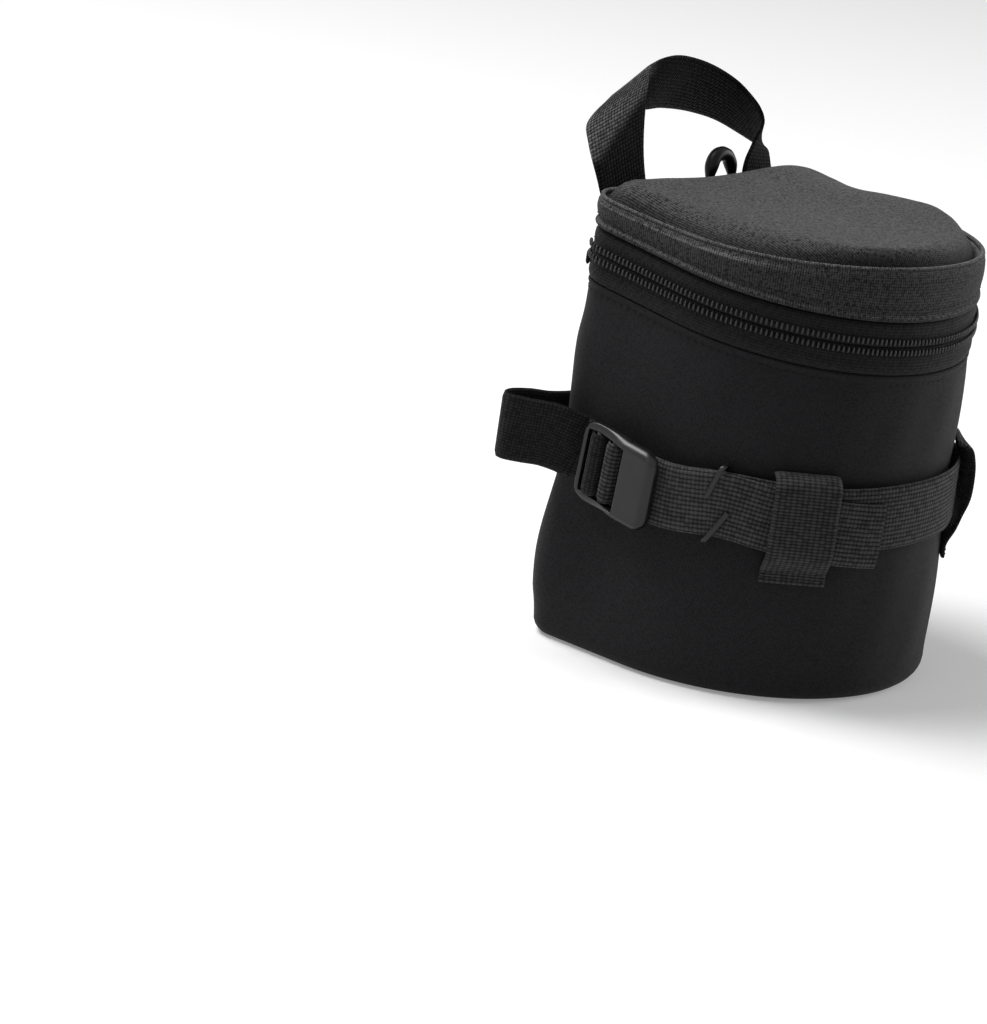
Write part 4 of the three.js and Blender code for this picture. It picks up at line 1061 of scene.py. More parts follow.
def build_anchor():
    """The anchor stands out from the left back edge in a wide bend and comes back to the buckle."""
    side, back = -wall_half(ANCHOR_Z), BACK_Y + SEWN_OUT
    far = side - ANCHOR_REACH
    route = [(side + 13.5, back, -2.2), (side + 7.5, back + 0.3, -2.1), (side - 1, back + 2, -1.6)]
    route += [(side - ANCHOR_REACH * 0.42, back + 4, -0.5), (side - ANCHOR_REACH * 0.78, BACK_Y + 6, 0)]
    route += [(far + 0.65, BACK_Y + 4.65, 0), (far, BACK_Y + 2, 0)]
    bend = np.array([side - ANCHOR_REACH * 0.8, BACK_Y - 2, -0.65])
    end_z = BUCKLE_Z + 11.6 * np.tan(TILT) + 0.65 - ANCHOR_Z
    end = np.array([side - INNER, BUCKLE_Y + 14.8, end_z])
    for share in (0, 0.4, 0.8, 1):
        x, y = (bend + share * (end - bend))[:2]
        route.append((x, y, bend[2] + share * share * (end[2] - bend[2])))
    stations = []
    for i, point in enumerate(route):
        lean = max(i / (len(route) - 1) - 0.6, 0) / 0.4 * TILT
        across = np.array([0, -np.sin(lean), np.cos(lean)])
        stations.append((np.array(point) + [0, 0, ANCHOR_Z], across))
    turn = BAR + 0.25 + WEB / 2
    lead = [(-11.6 - ANCHOR_BAR, 0), (0, 0), (turn / 2, WEB / 4), (turn * 0.9, WEB)]
    stations += [in_buckle(ANCHOR_BAR + along, SEWN_OUT + rise) for along, rise in lead]
    for angle in np.linspace(0, np.pi, 7):
        along = ANCHOR_BAR + turn * np.cos(angle)
        stations.append(in_buckle(along, BAR_OUT + turn * np.sin(angle)))
    stations.append(in_buckle(ANCHOR_BAR - turn, BAR_OUT - turn))
    made = band("anchor_webbing", strip(stations, WEB_WIDTH), WEB, turned=True)
    return dress(made, anchor_weave, "case", "webbing", "anchor_loop")


anchor_webbing = build_anchor()
print("anchor quads:", len(anchor_webbing.data.polygons))

# %% Keeper
KEEPER_AT, KEEPER_PLAY, KEEPER_THICK, KEEPER_WIDTH = -65, 1.3, 0.9, 1.6


def build_keeper():
    """A clip bent round the strap, open where its two ends meet at the front."""
    front, back = OVER - WEB / 2 + 0.4, 0.7
    reach = WEB_WIDTH / 2 + KEEPER_PLAY
    shoulder, edge = reach - 0.4, reach + 0.4
    centre = on_strap(KEEPER_AT, INNER)[0][2]
    places = [(-3, front, reach * 0.15), (0, front, shoulder), (0.5, front - 0.8, edge)]
    places += [(1, back + 0.8, edge), (1, back, shoulder), (-2, back, -shoulder)]
    places += [(-2, back + 0.8, -edge), (-2, front - 0.8, -edge), (-1.5, front, -shoulder)]
    places.append((3.5, front, -reach * 0.15))
    stations = []
    for turn, out, z in places:
        azimuth = KEEPER_AT + turn
        stations.append((on_arc(azimuth, out, centre + z), arc_tangent(azimuth)))
    made = band("keeper_clip", strip(stations, KEEPER_WIDTH, 0.35), KEEPER_THICK, 8)
    return dress(made, satin_plastic, "keeper", "buckle_plastic", "strap_keeper")


keeper_clip = build_keeper()
print("keeper quads:", len(keeper_clip.data.polygons))

# %% Front loops
LOOP_AZIMUTH = 40.5
TWIST_FROM, TWIST_TO = 48, 74
# Both profiles are (height, out)
LEFT_LOOP = [(37, 0.95), (39.8, 0.95), (41, 1.1), (44.5, 4.0), (47.6, 5.5), (57.5, 5.6)]
LEFT_LOOP += [(65, 5.4), (68, 4.9), (69.4, 3.4), (70, 1.7), (70.2, 0.4)]
RIGHT_LOOP = [(37, 0.95), (41, 1.0), (46, 3.2), (50, 4.3), (56, 4.9), (62, 4.8), (68, 4.3)]
RIGHT_LOOP += [(71.2, 3.5), (72.5, 2.2), (73, 0.4)]


def build_loop(name, azimuth, profile, twist, replaced):
    """A loop of webbing from its sewn lower end, up over the strap and back to the wall.

    Twist is in degrees. It grows above the sewn end and fades towards the top.
    """
    stations = []
    for z, out in profile:
        turn = np.radians(twist) * smooth((z - TWIST_FROM) / 12) * smooth((TWIST_TO - z) / 4)
        across = arc_tangent(azimuth) * np.cos(turn) + arc_outward(azimuth) * np.sin(turn)
        stations.append((on_arc(azimuth, out, z), across))
    made = band(name, strip(stations, WEB_WIDTH), WEB, turned=True)
    return dress(made, loop_weave, "case", "webbing", replaced)


left_loop = build_loop("left_front_loop", -LOOP_AZIMUTH, LEFT_LOOP, 0, "front_loop_left")
right_loop = build_loop("right_front_loop", LOOP_AZIMUTH, RIGHT_LOOP, -12, "front_loop_right")
print("front loop quads:", len(left_loop.data.polygons), len(right_loop.data.polygons))

# %% [markdown]
# ## Ladder-lock buckle
#
# The buckle is one moulding: two rails, an end bar, two round bars for the webbing and a broad thumb
# plate. Cutting it from a block with booleans would leave hard edges and messy faces. A grid of cells
# with the window left out, rounded by subdivision, gives the soft edges of a moulded part. Lines of the
# grid that lie close together keep an edge tight.


# %% Mouldings and bars
def moulding(name, xs, ys, keep, heights, corner, to_place):
    """A plate on a grid of lines, rounded by subdivision.

    Heights gives (low, high) at a place, and corner is the radius of the outer corners.
    """
    mid = np.array([(xs[0] + xs[-1]) / 2, (ys[0] + ys[-1]) / 2])
    half = np.array([(xs[-1] - xs[0]) / 2, (ys[-1] - ys[0]) / 2])
    verts, index = [], {}

    def vertex(i, j, upper):
        if (i, j, upper) not in index:
            low, high = heights(xs[i], ys[j])
            flat = np.array([xs[i], ys[j]]) - mid
            over = (np.abs(flat) - (half - corner)) / corner
            if over.min() > 0:
                a, b = over
                over = np.array([a * np.sqrt(1 - b * b / 2), b * np.sqrt(1 - a * a / 2)])
                flat = np.sign(flat) * (half - corner + over * corner)
            index[i, j, upper] = len(verts)
            verts.append(to_place(*(flat + mid), high if upper else low))
        return index[i, j, upper]

    cells = set()
    for i in range(len(xs) - 1):
        for j in range(len(ys) - 1):
            if keep(xs[i], xs[i + 1], ys[j], ys[j + 1]):
                cells.add((i, j))
    faces = []
    for i, j in sorted(cells):
        square = [(i, j), (i + 1, j), (i + 1, j + 1), (i, j + 1)]
        faces.append([vertex(*c, True) for c in square])
        faces.append([vertex(*c, False) for c in square[::-1]])
        beside = [(i, j - 1), (i + 1, j), (i, j + 1), (i - 1, j)]
        for k, other in enumerate(beside):
            if other not in cells:
                a, b = square[k], square[(k + 1) % 4]
                faces.append([vertex(*a, False), vertex(*b, False), vertex(*b, True), vertex(*a, True)])
    made = tidy(new_object(name, verts, faces))
    rounding = made.modifiers.new("rounding", "SUBSURF")
    rounding.levels = rounding.render_levels = 2
    settle(made)
    made.data.shade_smooth()
    return made


def pose_matrix(axes, place):
    """The matrix of a thing with these axes, one in each column, at a place."""
    return Matrix([[*axes[k], place[k]] for k in range(3)] + [[0, 0, 0, 1]])


def rod(made, start, end, radius, sides=14):
    """Add a round bar with closed ends to a mesh."""
    work = bmesh.new()
    work.from_mesh(made.data)
    start, end = np.asarray(start) * MM, np.asarray(end) * MM
    size = {"radius1": radius * MM, "radius2": radius * MM, "depth": np.linalg.norm(end - start)}
    bar = bmesh.ops.create_cone(work, cap_ends=True, segments=sides, **size)
    axis = unit(end - start)
    side = unit(np.cross(axis, [1, 0, 0]) if abs(axis[0]) < 0.9 else np.cross(axis, [0, 1, 0]))
    turn = np.column_stack([side, np.cross(axis, side), axis])
    bmesh.ops.transform(work, matrix=pose_matrix(turn, (start + end) / 2), verts=bar["verts"])
    work.to_mesh(made.data)
    work.free()
    made.data.shade_smooth()
    return made


print("mouldings are ready")

# %% Moulded buckle
ROUND, PLATE_RISE = 2.4, 1.7
BUCKLE_CORNER = 5
BAR_HALF = 11.6
BUCKLE_XS = [-11.6, -11.2, -10.3, -9.9, -8, -4, 0, 3, 4.8, 5.2, 5.6, 6.4, 9, 11.5, 13.2, 14.8]
BUCKLE_XS += [15.6, 16.3, 16.8, 17.1, 17.2]
BUCKLE_YS = [0, 5, 8.5, 9.6, 10.1, 10.4, 10.7, 11.2, 11.7, 12.2, 12.6, 12.9, 13]
BUCKLE_YS = [-y for y in BUCKLE_YS[:0:-1]] + BUCKLE_YS
WINDOW_START, WINDOW_END, WINDOW_WIDTH = -9.95, 5.25, 20.85


def edge_drop(past):
    """How far a rounded edge has dropped at a distance past its start."""
    past = np.clip(past, 0, ROUND)
    return ROUND - np.sqrt(ROUND**2 - past**2)


def buckle_heights(x, y):
    """The buckle's lower and upper face: rails that thicken into the thumb plate, with rounded edges."""
    end, edge = edge_drop(x - BUCKLE_XS[-1] + ROUND), edge_drop(abs(y) - BUCKLE_YS[-1] + ROUND)
    rails = 0.5 * smooth((x + 1) / 8) - 0.3 * edge
    plate = smooth((x + 4) / 9.2) * (PLATE_RISE - min(0.9 * edge + end, 2.4))
    hollow = 0.6 * smooth(x / 5.2) + 0.5 * smooth((x - 5) / 12)
    return BAR_OUT - BAR + hollow, BAR_OUT + BAR + rails + plate


def outside_window(x0, x1, y0, y1):
    return not (x0 >= WINDOW_START and x1 <= WINDOW_END and abs(y0 + y1) < WINDOW_WIDTH)


def buckle_place(along, across, out):
    return in_buckle(along, out)[0] + BUCKLE_ACROSS * across


def build_buckle():
    shape = (outside_window, buckle_heights, BUCKLE_CORNER, buckle_place)
    made = moulding("buckle_frame", BUCKLE_XS, BUCKLE_YS, *shape)
    for along in (ANCHOR_BAR, 0):
        start, end = (buckle_place(along, side * BAR_HALF, BAR_OUT) for side in (-1, 1))
        rod(made, start, end, BAR)
    return dress(made, satin_plastic, "buckle", "buckle_plastic", "ladder_lock")


buckle_frame = build_buckle()
print("buckle faces:", len(buckle_frame.data.polygons))

# %% [markdown]
# ## Carrying loop
#
# The carrying loop is one strap. Its two ends are sewn to the back, and the loop twists between them,
# so that its outer edge runs lower and further back than its inner edge. A path with a twist along it
# could make it, but two edges are easier to set beside a photograph. The loop crosses the fold at the
# top of the sewn ends, so it is attached to no single body.

# %% Carrying loop
# Both edges are shares of the span to the right, to the back and up
HANDLE_OUTER = [(-1, 0, 0), (-1, 0.02, 0.13), (-1.05, 0.2, 0.38), (-1.02, 0.49, 0.58)]
HANDLE_OUTER += [(-0.915, 0.69, 0.675), (-0.64, 0.725, 0.785), (-0.3, 0.76, 0.7), (0.13, 0.96, 0.66)]
HANDLE_OUTER += [(0.52, 1, 0.61), (0.76, 0.9, 0.56), (0.938, 0.66, 0.484), (0.968, 0.5, 0.457)]
HANDLE_OUTER += [(1.016, 0.36, 0.435), (0.97, 0.2, 0.357), (1, 0.02, 0.13), (1, 0, 0)]
HANDLE_INNER = [(-0.524, 0, 0), (-0.524, 0.02, 0.13), (-0.565, 0.22, 0.5), (-0.46, 0.44, 0.72)]
HANDLE_INNER += [(-0.36, 0.58, 0.86), (-0.28, 0.69, 0.95), (-0.05, 0.65, 1), (0.26, 0.57, 0.96)]
HANDLE_INNER += [(0.54, 0.47, 0.87), (0.65, 0.35, 0.8), (0.705, 0.15, 0.704), (0.731, 0.12, 0.636)]
HANDLE_INNER += [(0.622, 0.1, 0.521), (0.525, 0.06, 0.413), (0.524, 0.02, 0.13), (0.524, 0, 0)]
HANDLE_SPAN = np.array([42, 24.5, 55])
HANDLE_START = np.array([0, 38.45, 115.0])
SEWN_END = [(0, 0, -26.15), (0, 0, -9)]
# The fold in the loop's left half, seen from the front as (x, z): a point on it, and the way up from it
FOLD_POINT = np.array([-43.6, 140.3])
FOLD_UP = np.array([-0.567, 0.823])


def loop_edge(shares):
    """One edge of the carrying loop, from the lower end of its left sewn end to that of its right one."""
    path = np.array(shares) * HANDLE_SPAN
    left, right = path[0] + SEWN_END, path[-1] + SEWN_END[::-1]
    return np.concatenate([left, path, right]) + HANDLE_START


def build_handle():
    both = np.concatenate([loop_edge(HANDLE_OUTER), loop_edge(HANDLE_INNER)], 1)
    centred = np.concatenate([(both[:, :3] + both[:, 3:]) / 2, both], 1)
    path = spline(centred, 0.8)
    made = band("carry_webbing", (path[:, 3:6], path[:, 6:9]), WEB, 16)
    place = np.array([v.co for v in made.data.vertices]) / MM
    above_fold = (place[:, [0, 2]] - FOLD_POINT) @ FOLD_UP
    # Painted light and shade: the part above the fold on the left is painted light, where the key light
    # falls, and the rest of the loop is painted nearly dark.
    mark_painted_light(made, smooth(above_fold / 3) * smooth((-8 - place[:, 0]) / 5))
    dress(made, handle_weave, None, "webbing", "handle_loop", "handle_end_left", "handle_end_right")
    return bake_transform(made)


carry_webbing = build_handle()
print("carrying loop quads:", len(carry_webbing.data.polygons))

# %% [markdown]
# ## Ring and belt tab
#
# A small ring hangs in a webbing tab behind the lid, and a broad belt tab hangs down the back. Both
# tabs lie flat against the back, so a route in one upright plane is enough for each. A torus could
# stand for the ring, but the real one is flat at the tab and thicker at its top, so a rod with a
# changing radius follows a closed path. The belt tab crosses its fold as the carrying loop does, and is
# attached to no single body either.

# %% Ring and its tab
RING_X, RING_ROD, RING_FULLER = 12.5, 1.1, 1.1
RING_WIDTH, RING_HEIGHT, RING_LEAN = 12.6, 12, 0.16
RING_TAB_WIDTH = 8


def upright_strip(x, route, width, spacing):
    """Edges of a strap whose width runs from side to side, along (y, z) places."""
    stations = [(np.array([x, y, z]), np.array([1.0, 0, 0])) for y, z in route]
    return strip(stations, width, spacing)


def build_ring_tab(near, turn, bar_y, bar_z):
    low = HINGE_Z + 1.6
    route = [(near, low), (near, bar_z - 4)]
    for angle in np.pi * (1 - np.linspace(0, 1, 9)):
        route.append((bar_y + turn * np.cos(angle), bar_z + turn * np.sin(angle)))
    route += [(near + WEB + 0.5, low + 4), (near + WEB + 0.3, low + WEB)]
    made = band("ring_loop", upright_strip(RING_X, route, RING_TAB_WIDTH, 0.5), WEB, 8)
    return dress(made, loop_weave, "lid", "webbing", "ring_tab")


def build_ring():
    near, turn = BACK_Y + SEWN_OUT, RING_ROD + 0.3 + WEB / 2
    bar_y, bar_z = near + turn, HINGE_Z + 11.5
    tab = build_ring_tab(near, turn, bar_y, bar_z)
    half, top = RING_WIDTH / 2 - RING_ROD, RING_HEIGHT - 2 * RING_ROD
    shape = [(-half, 0), (-half / 2, 0), (half / 2, 0), (half, 0), (half, top * 0.45)]
    shape += [(half * 0.62, top * 0.88), (0, top), (-half * 0.62, top * 0.88), (-half, top * 0.45)]
    points = np.array([(RING_X + x, bar_y + z * RING_LEAN, bar_z + z) for x, z in shape])
    path = spline(np.concatenate([points[-3:], points, points[:4]]), 0.5)
    halfway = len(path) // 2
    from_start = np.linalg.norm(path - points[0], axis=1)
    path = path[np.argmin(from_start[:halfway]) : halfway + np.argmin(from_start[halfway:])]
    radius = RING_ROD + RING_FULLER * smooth((path[:, 2] - bar_z - 1) / 6)
    made = tube("ring_rod", path, radius)
    return tab, dress(made, ring_plastic, "ring", "buckle_plastic", "lid_ring")


ring_loop, ring_rod = build_ring()
print("ring quads:", len(ring_rod.data.polygons))

# %% Belt tab
TAB_WIDTH, TAB_THICK = 42, 2


def build_tab():
    sewn, free, top = BACK_Y + 1.3, BACK_Y + 5.6, 98.7
    drop = free - sewn
    route = [(sewn, 106), (sewn, 102), (sewn, top), (sewn, top - drop * 0.3)]
    route += [(sewn + drop * 0.2, top - drop * 0.8), (free - drop * 0.2, top - drop * 1.4)]
    route += [(free, top - drop * 2), (free, 60), (free, 20)]
    made = band("belt_webbing", upright_strip(0, route, TAB_WIDTH, 1.0), TAB_THICK, 22)
    dress(made, strap_weave, None, "webbing", "belt_tab", "belt_tab_seam")
    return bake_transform(made)


belt_webbing = build_tab()
print("belt tab quads:", len(belt_webbing.data.polygons))

# %% [markdown]
# ## What repeats: teeth and stitches
#
# A zip has over a hundred teeth in each row, and every seam has hundreds of stitches. Copies could be
# placed in a loop, but one Geometry Nodes tree does all of them: it walks along a path, sets a small
# rounded block at each step, turns it so that its Z axis points out of the cloth and its X axis along
# the path, realises the copies and gives them a material.


# %% Geometry Nodes tree for rows
def row_tree():
    tree = bpy.data.node_groups.new("row_along_path", "GeometryNodeTree")
    sockets = [("Path", "Geometry"), ("Spacing", "Float"), ("Size", "Vector")]
    sockets += [("Offset", "Vector"), ("Finish", "Material")]
    for label, kind in sockets:
        tree.interface.new_socket(label, in_out="INPUT", socket_type="NodeSocket" + kind)
    tree.interface.new_socket("Row", in_out="OUTPUT", socket_type="NodeSocketGeometry")

    def step(kind, links=None, **settings):
        return node(tree, kind, links, **settings).outputs[0]

    given = node(tree, "NodeGroupInput").outputs
    curve = step("GeometryNodeMeshToCurve", {"Mesh": given["Path"]})
    links = {"Curve": curve, "Length": given["Spacing"]}
    walk = step("GeometryNodeResampleCurve", links, mode="LENGTH")
    block = step("GeometryNodeMeshCube", {"Size": given["Size"]})
    round_block = step("GeometryNodeSubdivisionSurface", {"Mesh": block, "Level": 1})
    links = {"Geometry": round_block, "Translation": given["Offset"]}
    moved = step("GeometryNodeTransform", links)
    out = step("GeometryNodeInputNamedAttribute", {"Name": "out"}, data_type="FLOAT_VECTOR")
    links = {0: out, 1: step("GeometryNodeInputTangent")}
    turn = step("FunctionNodeAxesToRotation", links, primary_axis="Z", secondary_axis="X")
    links = {"Points": walk, "Instance": moved, "Rotation": turn}
    copies = step("GeometryNodeInstanceOnPoints", links)
    real = step("GeometryNodeRealizeInstances", {"Geometry": copies})
    done = step("GeometryNodeSetMaterial", {"Geometry": real, "Material": given["Finish"]})
    node(tree, "NodeGroupOutput", {"Row": done})
    return tree


ROW = row_tree()
print("row tree nodes:", len(ROW.nodes))


# %% Rows of blocks along paths
def row_along(name, paths, spacing, size, offset, finish):
    """Blocks along paths, which are (points, outward directions) in millimetres."""
    mesh = bpy.data.meshes.new(name)
    points = np.concatenate([np.asarray(p, float) for p, _ in paths]) * MM
    outs = np.concatenate([np.broadcast_to(o, np.shape(p)) for p, o in paths]).astype(np.float32)
    edges, start = [], 0
    for p, _ in paths:
        edges += [(k, k + 1) for k in range(start, start + len(p) - 1)]
        start += len(p)
    mesh.from_pydata(points.tolist(), edges, [])
    mesh.attributes.new("out", "FLOAT_VECTOR", "POINT").data.foreach_set("vector", outs.ravel())
    made = link_object(name, mesh)
    modifier = made.modifiers.new("row", "NODES")
    modifier.node_group = ROW
    values = {"Spacing": spacing * MM, "Finish": finish}
    values |= {"Size": [s * MM for s in size], "Offset": [s * MM for s in offset]}
    for item in ROW.interface.items_tree:
        if item.name in values:
            modifier[item.identifier] = values[item.name]
    settle(made)
    made.data.shade_smooth()
    return made


print("rows are ready")

# %% [markdown]
# ## Zip teeth
#
# The zip runs round the front from one back corner to the other, and its two rows of teeth mesh half a
# pitch apart. A texture could show them, but they stand out from the tape and catch light one by one,
# so they are blocks along the zip's line. A cloth tab covers each end.

# %% Teeth and end tabs
TOOTH_PITCH, TOOTH_SIZE = 1.5, (0.95, 2.7, 1.4)
TOOTH_ACROSS, TOOTH_OUT = 1.55, 1.3
ZIP_RADIUS = wall_half(ZIP)
ZIP_QUARTER = ZIP_RADIUS * np.pi / 2
ZIP_SIDE = BACK_Y - CORNER
ZIP_END = ZIP_QUARTER + ZIP_SIDE + CORNER * np.radians(54)
TEETH = [("upper_teeth", -1, 0.0, "lid", "zip_coil_upper")]
TEETH += [("lower_teeth", 1, TOOTH_PITCH / 2, "case", "zip_coil_lower")]


def on_zip(distance, across, out):
    """Places along the zip and their outward directions.

    The distance is measured from the front centre and is positive to the right.
    """
    side = np.where(distance < 0, -1.0, 1.0)
    past = np.abs(distance) - ZIP_QUARTER
    turn = np.clip(past - ZIP_SIDE, 0, None) / CORNER
    angle = np.where(past <= 0, past / ZIP_RADIUS, turn)
    reach = np.where(turn > 0, CORNER, ZIP_RADIUS) + out
    x = side * (np.where(turn > 0, ZIP_RADIUS - CORNER, 0) + reach * np.cos(angle))
    y = np.clip(past, 0, ZIP_SIDE) + reach * np.sin(angle)
    direction = np.stack([side * np.cos(angle), np.sin(angle), 0 * x], 1)
    return np.stack([x, y, zip_z(x, y) + across], 1), direction


def zip_line(short):
    """The zip's whole line from right to left, shorter at both ends by a length."""
    return on_zip(np.linspace(ZIP_END - short, -ZIP_END + short, 400), 0, 0.0)


def build_teeth(name, side, shift, body, replaced):
    offset = (0, side * TOOTH_ACROSS, TOOTH_OUT)
    made = row_along(name, [zip_line(shift)], TOOTH_PITCH, TOOTH_SIZE, offset, coil_plastic)
    return dress(made, coil_plastic, body, "zip_teeth", replaced)


def build_end_tab(name, side, replaced):
    along = side * np.linspace(ZIP_END + 1, ZIP_END + 6, 14)
    edges = [on_zip(along, across, 1.55)[0] for across in (-1.6, -6.1)]
    return dress(band(name, edges, WEB, 8), binding_cloth, "case", "webbing", replaced)


upper_teeth, lower_teeth = (build_teeth(*row) for row in TEETH)
left_end_tab = build_end_tab("left_end_tab", -1, "zip_end_tab_left")
right_end_tab = build_end_tab("right_end_tab", 1, "zip_end_tab_right")
print("teeth faces:", len(upper_teeth.data.polygons))

# %% [markdown]
# ## Stitches
#
# Seams show as short raised threads. A dashed bump could draw them, but raised threads also show at the
# outline and from close by. Each body has one row object for its seams, and each zip tape has a row of
# its own. A seam is a path on the cloth with its outward directions: along the hems, across the sewn
# ends of the webbing, and as boxes with a cross on the ends that carry weight.

# %% Seams
STITCH, STITCH_STEP = (1.9, 0.5, 0.4), 2.6
TAPE_STITCH, TAPE_STITCH_ACROSS, TAPE_STITCH_OUT = (0.9, 0.55, 0.4), 3.7, 0.75
BEHIND, RIGHTWARD = np.array([0, 1.0, 0]), np.array([1.0, 0, 0])
WEB_FACE, TAB_FACE, FLAP_FACE = BACK_Y + 1.65, BACK_Y + 2.35, BACK_Y + 6.65
# Heights of the seams across the front loops and across the top of the belt tab
LOOP_SEAMS, TAB_SEAMS = (38.2, 39.6), (101.4, 104.6)
# Places of the upright seams, on the anchor from the case's left side and on the strap as y
ANCHOR_SEAMS, STRAP_SEAMS = (9, 12), (25.8, 23.4)
ANCHOR_SEAM_Z = (56, 71)
SEWN_END_X, SEWN_BOX_HALF, SEWN_BOX_Z = 32, 8, (91, 108)
WEB_SEAM_HALF, TAB_SEAM_HALF = 9, 19.5
FLAP_BOX = ((-17.5, 24), (17.5, 44))
FLAP_SEAM_X, FLAP_SEAM_Z = 19.4, (48, 86)


def hem_seam(level, out):
    return ring(WALL, level, out), np.column_stack([WALL[:, 4:], 0 * WALL[:, 0]])


def straight(start, end, outward=BEHIND):
    return np.linspace(start, end, 12), outward


def box_seam(low, high, y, crossed=False):
    """A rectangle on the back between two (x, z) corners, with a cross in it if asked."""
    (x0, z0), (x1, z1) = low, high
    corner = [np.array(c) for c in ((x0, y, z0), (x1, y, z0), (x1, y, z1), (x0, y, z1))]
    pairs = [(0, 1), (1, 2), (2, 3), (3, 0)] + ([(0, 2), (1, 3)] if crossed else [])
    return [straight(corner[a], corner[b]) for a, b in pairs]


def loop_seam(azimuth, z):
    middle, along = on_arc(azimuth, 1.5, z), WEB_SEAM_HALF * arc_tangent(azimuth)
    return straight(middle - along, middle + along, arc_outward(azimuth))


def case_seams():
    seams = [hem_seam(raised(rim_z, -2.6), 0.15)]
    seams += [loop_seam(side * LOOP_AZIMUTH, z) for side in (-1, 1) for z in LOOP_SEAMS]
    for x in (-SEWN_END_X, SEWN_END_X):
        low, high = ((x + side * SEWN_BOX_HALF, z) for side, z in zip((-1, 1), SEWN_BOX_Z))
        seams += box_seam(low, high, WEB_FACE, True)
    for z in TAB_SEAMS:
        seams.append(straight((-TAB_SEAM_HALF, TAB_FACE, z), (TAB_SEAM_HALF, TAB_FACE, z)))
    for inward in ANCHOR_SEAMS:
        x = inward - wall_half(60)
        start, end = ((x, WEB_FACE, z) for z in ANCHOR_SEAM_Z)
        seams.append(straight(start, end))
    x = wall_half(STRAP_Z) + 1.65
    for y in STRAP_SEAMS:
        start, end = ((x, y, STRAP_Z + side * WEB_SEAM_HALF) for side in (-1, 1))
        seams.append(straight(start, end, RIGHTWARD))
    return seams


case_paths = case_seams()
print("seams of the case:", len(case_paths))


# %% Stitches of the case, the lid and the belt tab
def build_stitches():
    lid = [hem_seam(between(lid_edge_z, lid_seam_z, 0.12, 2.05), 0.95)]
    flap = box_seam(*FLAP_BOX, FLAP_FACE)
    for x in (-FLAP_SEAM_X, FLAP_SEAM_X):
        start, end = ((x, FLAP_FACE, z) for z in FLAP_SEAM_Z)
        flap.append(straight(start, end))
    rows = [("case_stitches", "case", case_paths), ("lid_stitches", "lid", lid)]
    rows.append(("flap_stitches", "belt_flap", flap))
    made = []
    for name, body, seams in rows:
        row = row_along(name, seams, STITCH_STEP, STITCH, (0, 0, 0), thread)
        made.append(dress(row, thread, body, "webbing"))
    for name, body, side in (("lower_tape_stitches", "case", 1), ("upper_tape_stitches", "lid", -1)):
        offset = (0, side * TAPE_STITCH_ACROSS, TAPE_STITCH_OUT)
        row = row_along(name, [zip_line(2)], TOOTH_PITCH, TAPE_STITCH, offset, thread)
        made.append(dress(row, thread, body, "zip_tape"))
    return made


stitches = build_stitches()
print("stitch rows:", [row.name for row in stitches])

# %% [markdown]
# ## Touch fastener
#
# The belt tab closes with a hook patch on the tab and a loop patch on the back. A particle system could
# grow the pile, but its hairs don't reach the export as a mesh. So each patch is a thin woven base with
# rows of short bristles from the same tree as the stitches. The two face each other across a small gap.

# %% Hook and loop patches
PILE_STEP, PILE_SIZE, PILE_RISE = 1.1, (0.3, 0.3, 0.9), 0.35
PILE_EDGE = 1.2
PATCH_BASE = 1.0


def build_patch(name, solid, body, facing):
    low, high = (np.array(corner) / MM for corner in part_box(solid))
    back = low[1] if facing > 0 else high[1]
    heights = np.linspace(low[2] + 0.2, high[2] - 0.2, 24)
    edges = [[(x, back + facing * 0.55, z) for z in heights] for x in (high[0], low[0])]
    base = band(name + "_base", edges, PATCH_BASE, 12)
    dress(base, fastener_cloth, body, "touch_fastener", solid)
    rows = []
    for z in np.arange(low[2] + PILE_EDGE, high[2] - 1, PILE_STEP):
        start = (low[0] + PILE_EDGE, back + facing, z)
        end = (high[0] - PILE_EDGE, back + facing, z)
        rows.append(straight(start, end, BEHIND * facing))
    field = row_along(name + "_field", rows, PILE_STEP, PILE_SIZE, (0, 0, PILE_RISE), bristle)
    return base, dress(field, bristle, body, "touch_fastener")


loop_base, loop_field = build_patch("loop_patch", "loop_patch", "case", 1.0)
hook_base, hook_field = build_patch("hook_patch", "hook_patch", "belt_flap", -1.0)
print("bristle faces:", len(hook_field.data.polygons))

# %% [markdown]
# ## Light, floor and camera
#
# The photograph is lit softly from above. One large key light above and behind, on the left, gives
# that, and two weaker lights fill in from the right and the left. Light from the world alone would be
# simpler, but it leaves no bright edge on the buckle. The camera is far away with a long lens, a little
# above the lid, and it is rolled by a few degrees, because the pouch hangs at a tilt in the photograph.

# %% Floor and world
FLOOR_HALF, FLOOR_GREY, FLOOR_GLOW = 6.0, 0.88, 0.22
WORLD_LIGHT = 0.14


def build_floor():
    mesh = bpy.data.meshes.new("floor")
    corners = [(x * FLOOR_HALF, y * FLOOR_HALF, 0) for x, y in ((-1, -1), (1, -1), (1, 1), (-1, 1))]
    mesh.from_pydata(corners, [], [(0, 1, 2, 3)])
    floor = link_object("floor", mesh)
    material, _, shader = begin("pale_floor", Roughness=0.9, Specular_IOR_Level=0.1)
    shader.inputs["Base Color"].default_value = (*grey(FLOOR_GREY), 1)
    shader.inputs["Emission Color"].default_value = (1, 1, 1, 1)
    shader.inputs["Emission Strength"].default_value = FLOOR_GLOW
    mesh.materials.append(material)


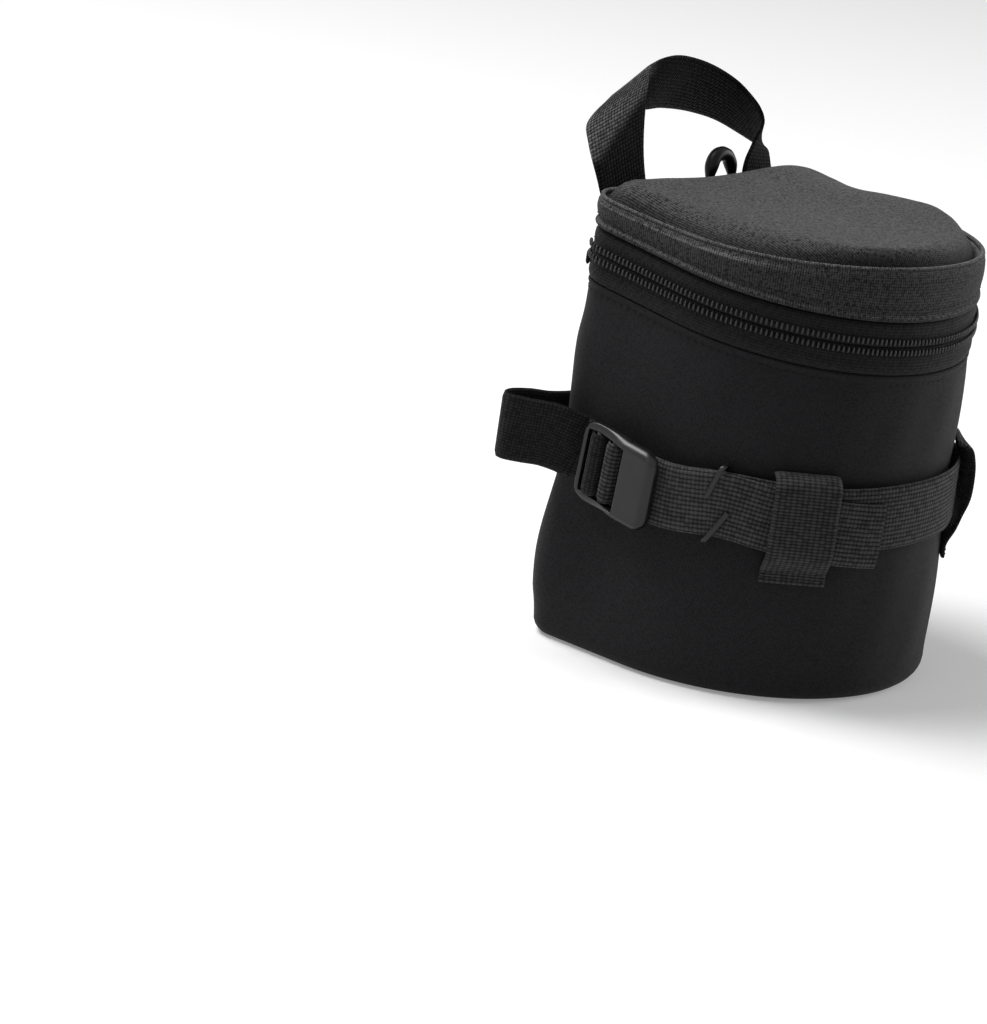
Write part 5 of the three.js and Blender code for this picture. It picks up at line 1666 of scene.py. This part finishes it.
def build_world():
    """White where the camera, a reflection or clear plastic sees it, and a weak light elsewhere."""
    world = bpy.data.worlds.new("studio")
    bpy.context.scene.world = world
    world.use_nodes = True
    tree = world.node_tree
    tree.nodes.clear()
    path = node(tree, "ShaderNodeLightPath").outputs
    through = calc(tree, "MAXIMUM", path["Is Glossy Ray"], path["Is Transmission Ray"])
    seen = calc(tree, "MAXIMUM", path["Is Camera Ray"], through)
    links = {"Color": (1, 1, 1, 1), "Strength": remap(tree, seen, WORLD_LIGHT, 1.0)}
    light = node(tree, "ShaderNodeBackground", links).outputs[0]
    node(tree, "ShaderNodeOutputWorld", {"Surface": light})


build_floor()
build_world()
print("world:", bpy.context.scene.world.name)

# %% Lights
AIM = (0, 0, 0.08)
# Lights are (name, place, size, power)
LIGHTS = [("key_light", (-0.35, 0.63, 1.28), 0.8, 21)]
LIGHTS += [("right_light", (1.3, -0.55, 0.5), 0.8, 9)]
LIGHTS += [("left_light", (-1.3, -0.1, 0.7), 0.9, 1.0)]


def area_light(name, place, size, power):
    lamp = bpy.data.lights.new(name, "AREA")
    lamp.shape = "SQUARE"
    lamp.size = size
    lamp.energy = power
    made = link_object(name, lamp)
    back = unit(np.array(place, float) - np.array(AIM, float))
    side = unit(np.cross([0, 1, 0.01], back))
    made.matrix_world = pose_matrix(np.column_stack([side, np.cross(back, side), back]), place)
    return made


lamps = [area_light(*light) for light in LIGHTS]
print("lights:", [lamp.name for lamp in lamps])

# %% Camera
CAMERA_AZIMUTH, CAMERA_RISE, CAMERA_ROLL = -51.726, 16.803, 8.402
CAMERA_DISTANCE = 1533.97
CAMERA_SIDE, CAMERA_UP = -78.12, 27.12
FOCAL_PIXELS, PHOTO_HEIGHT, SENSOR = 5000, 1024, 36


def build_camera():
    rise, roll = np.radians(CAMERA_RISE), np.radians(CAMERA_ROLL)
    back = arc_outward(CAMERA_AZIMUTH) * np.cos(rise) + [0, 0, np.sin(rise)]
    side = arc_tangent(CAMERA_AZIMUTH)
    up = np.cross(back, side)
    place = (CAMERA_SIDE * side + CAMERA_UP * up + CAMERA_DISTANCE * back) * MM
    right = np.cos(roll) * side + np.sin(roll) * up
    top = -np.sin(roll) * side + np.cos(roll) * up
    camera = bpy.data.cameras.new("photo_camera")
    camera.sensor_width = SENSOR
    camera.lens = FOCAL_PIXELS / PHOTO_HEIGHT * SENSOR
    camera.clip_start = 0.05
    made = link_object("photo_camera", camera)
    made.matrix_world = pose_matrix(np.column_stack([right, top, back]), place)
    bpy.context.scene.camera = made
    return made


photo_camera = build_camera()
bpy.context.scene.view_settings.view_transform = "Standard"
print("camera at", [round(c, 3) for c in photo_camera.matrix_world.translation])

# %% [markdown]
# ## The solids that stay
#
# The slider and its pull are rigid and plain, and their solids already have the right shape. New meshes
# would add nothing, so they only get the finish of black metal.

# %% Finish the slider and its pull
for name in ("zip_slider", "zip_pull"):
    for place in nodes[name].material_slots:
        place.link = "OBJECT"
        place.material = black_metal
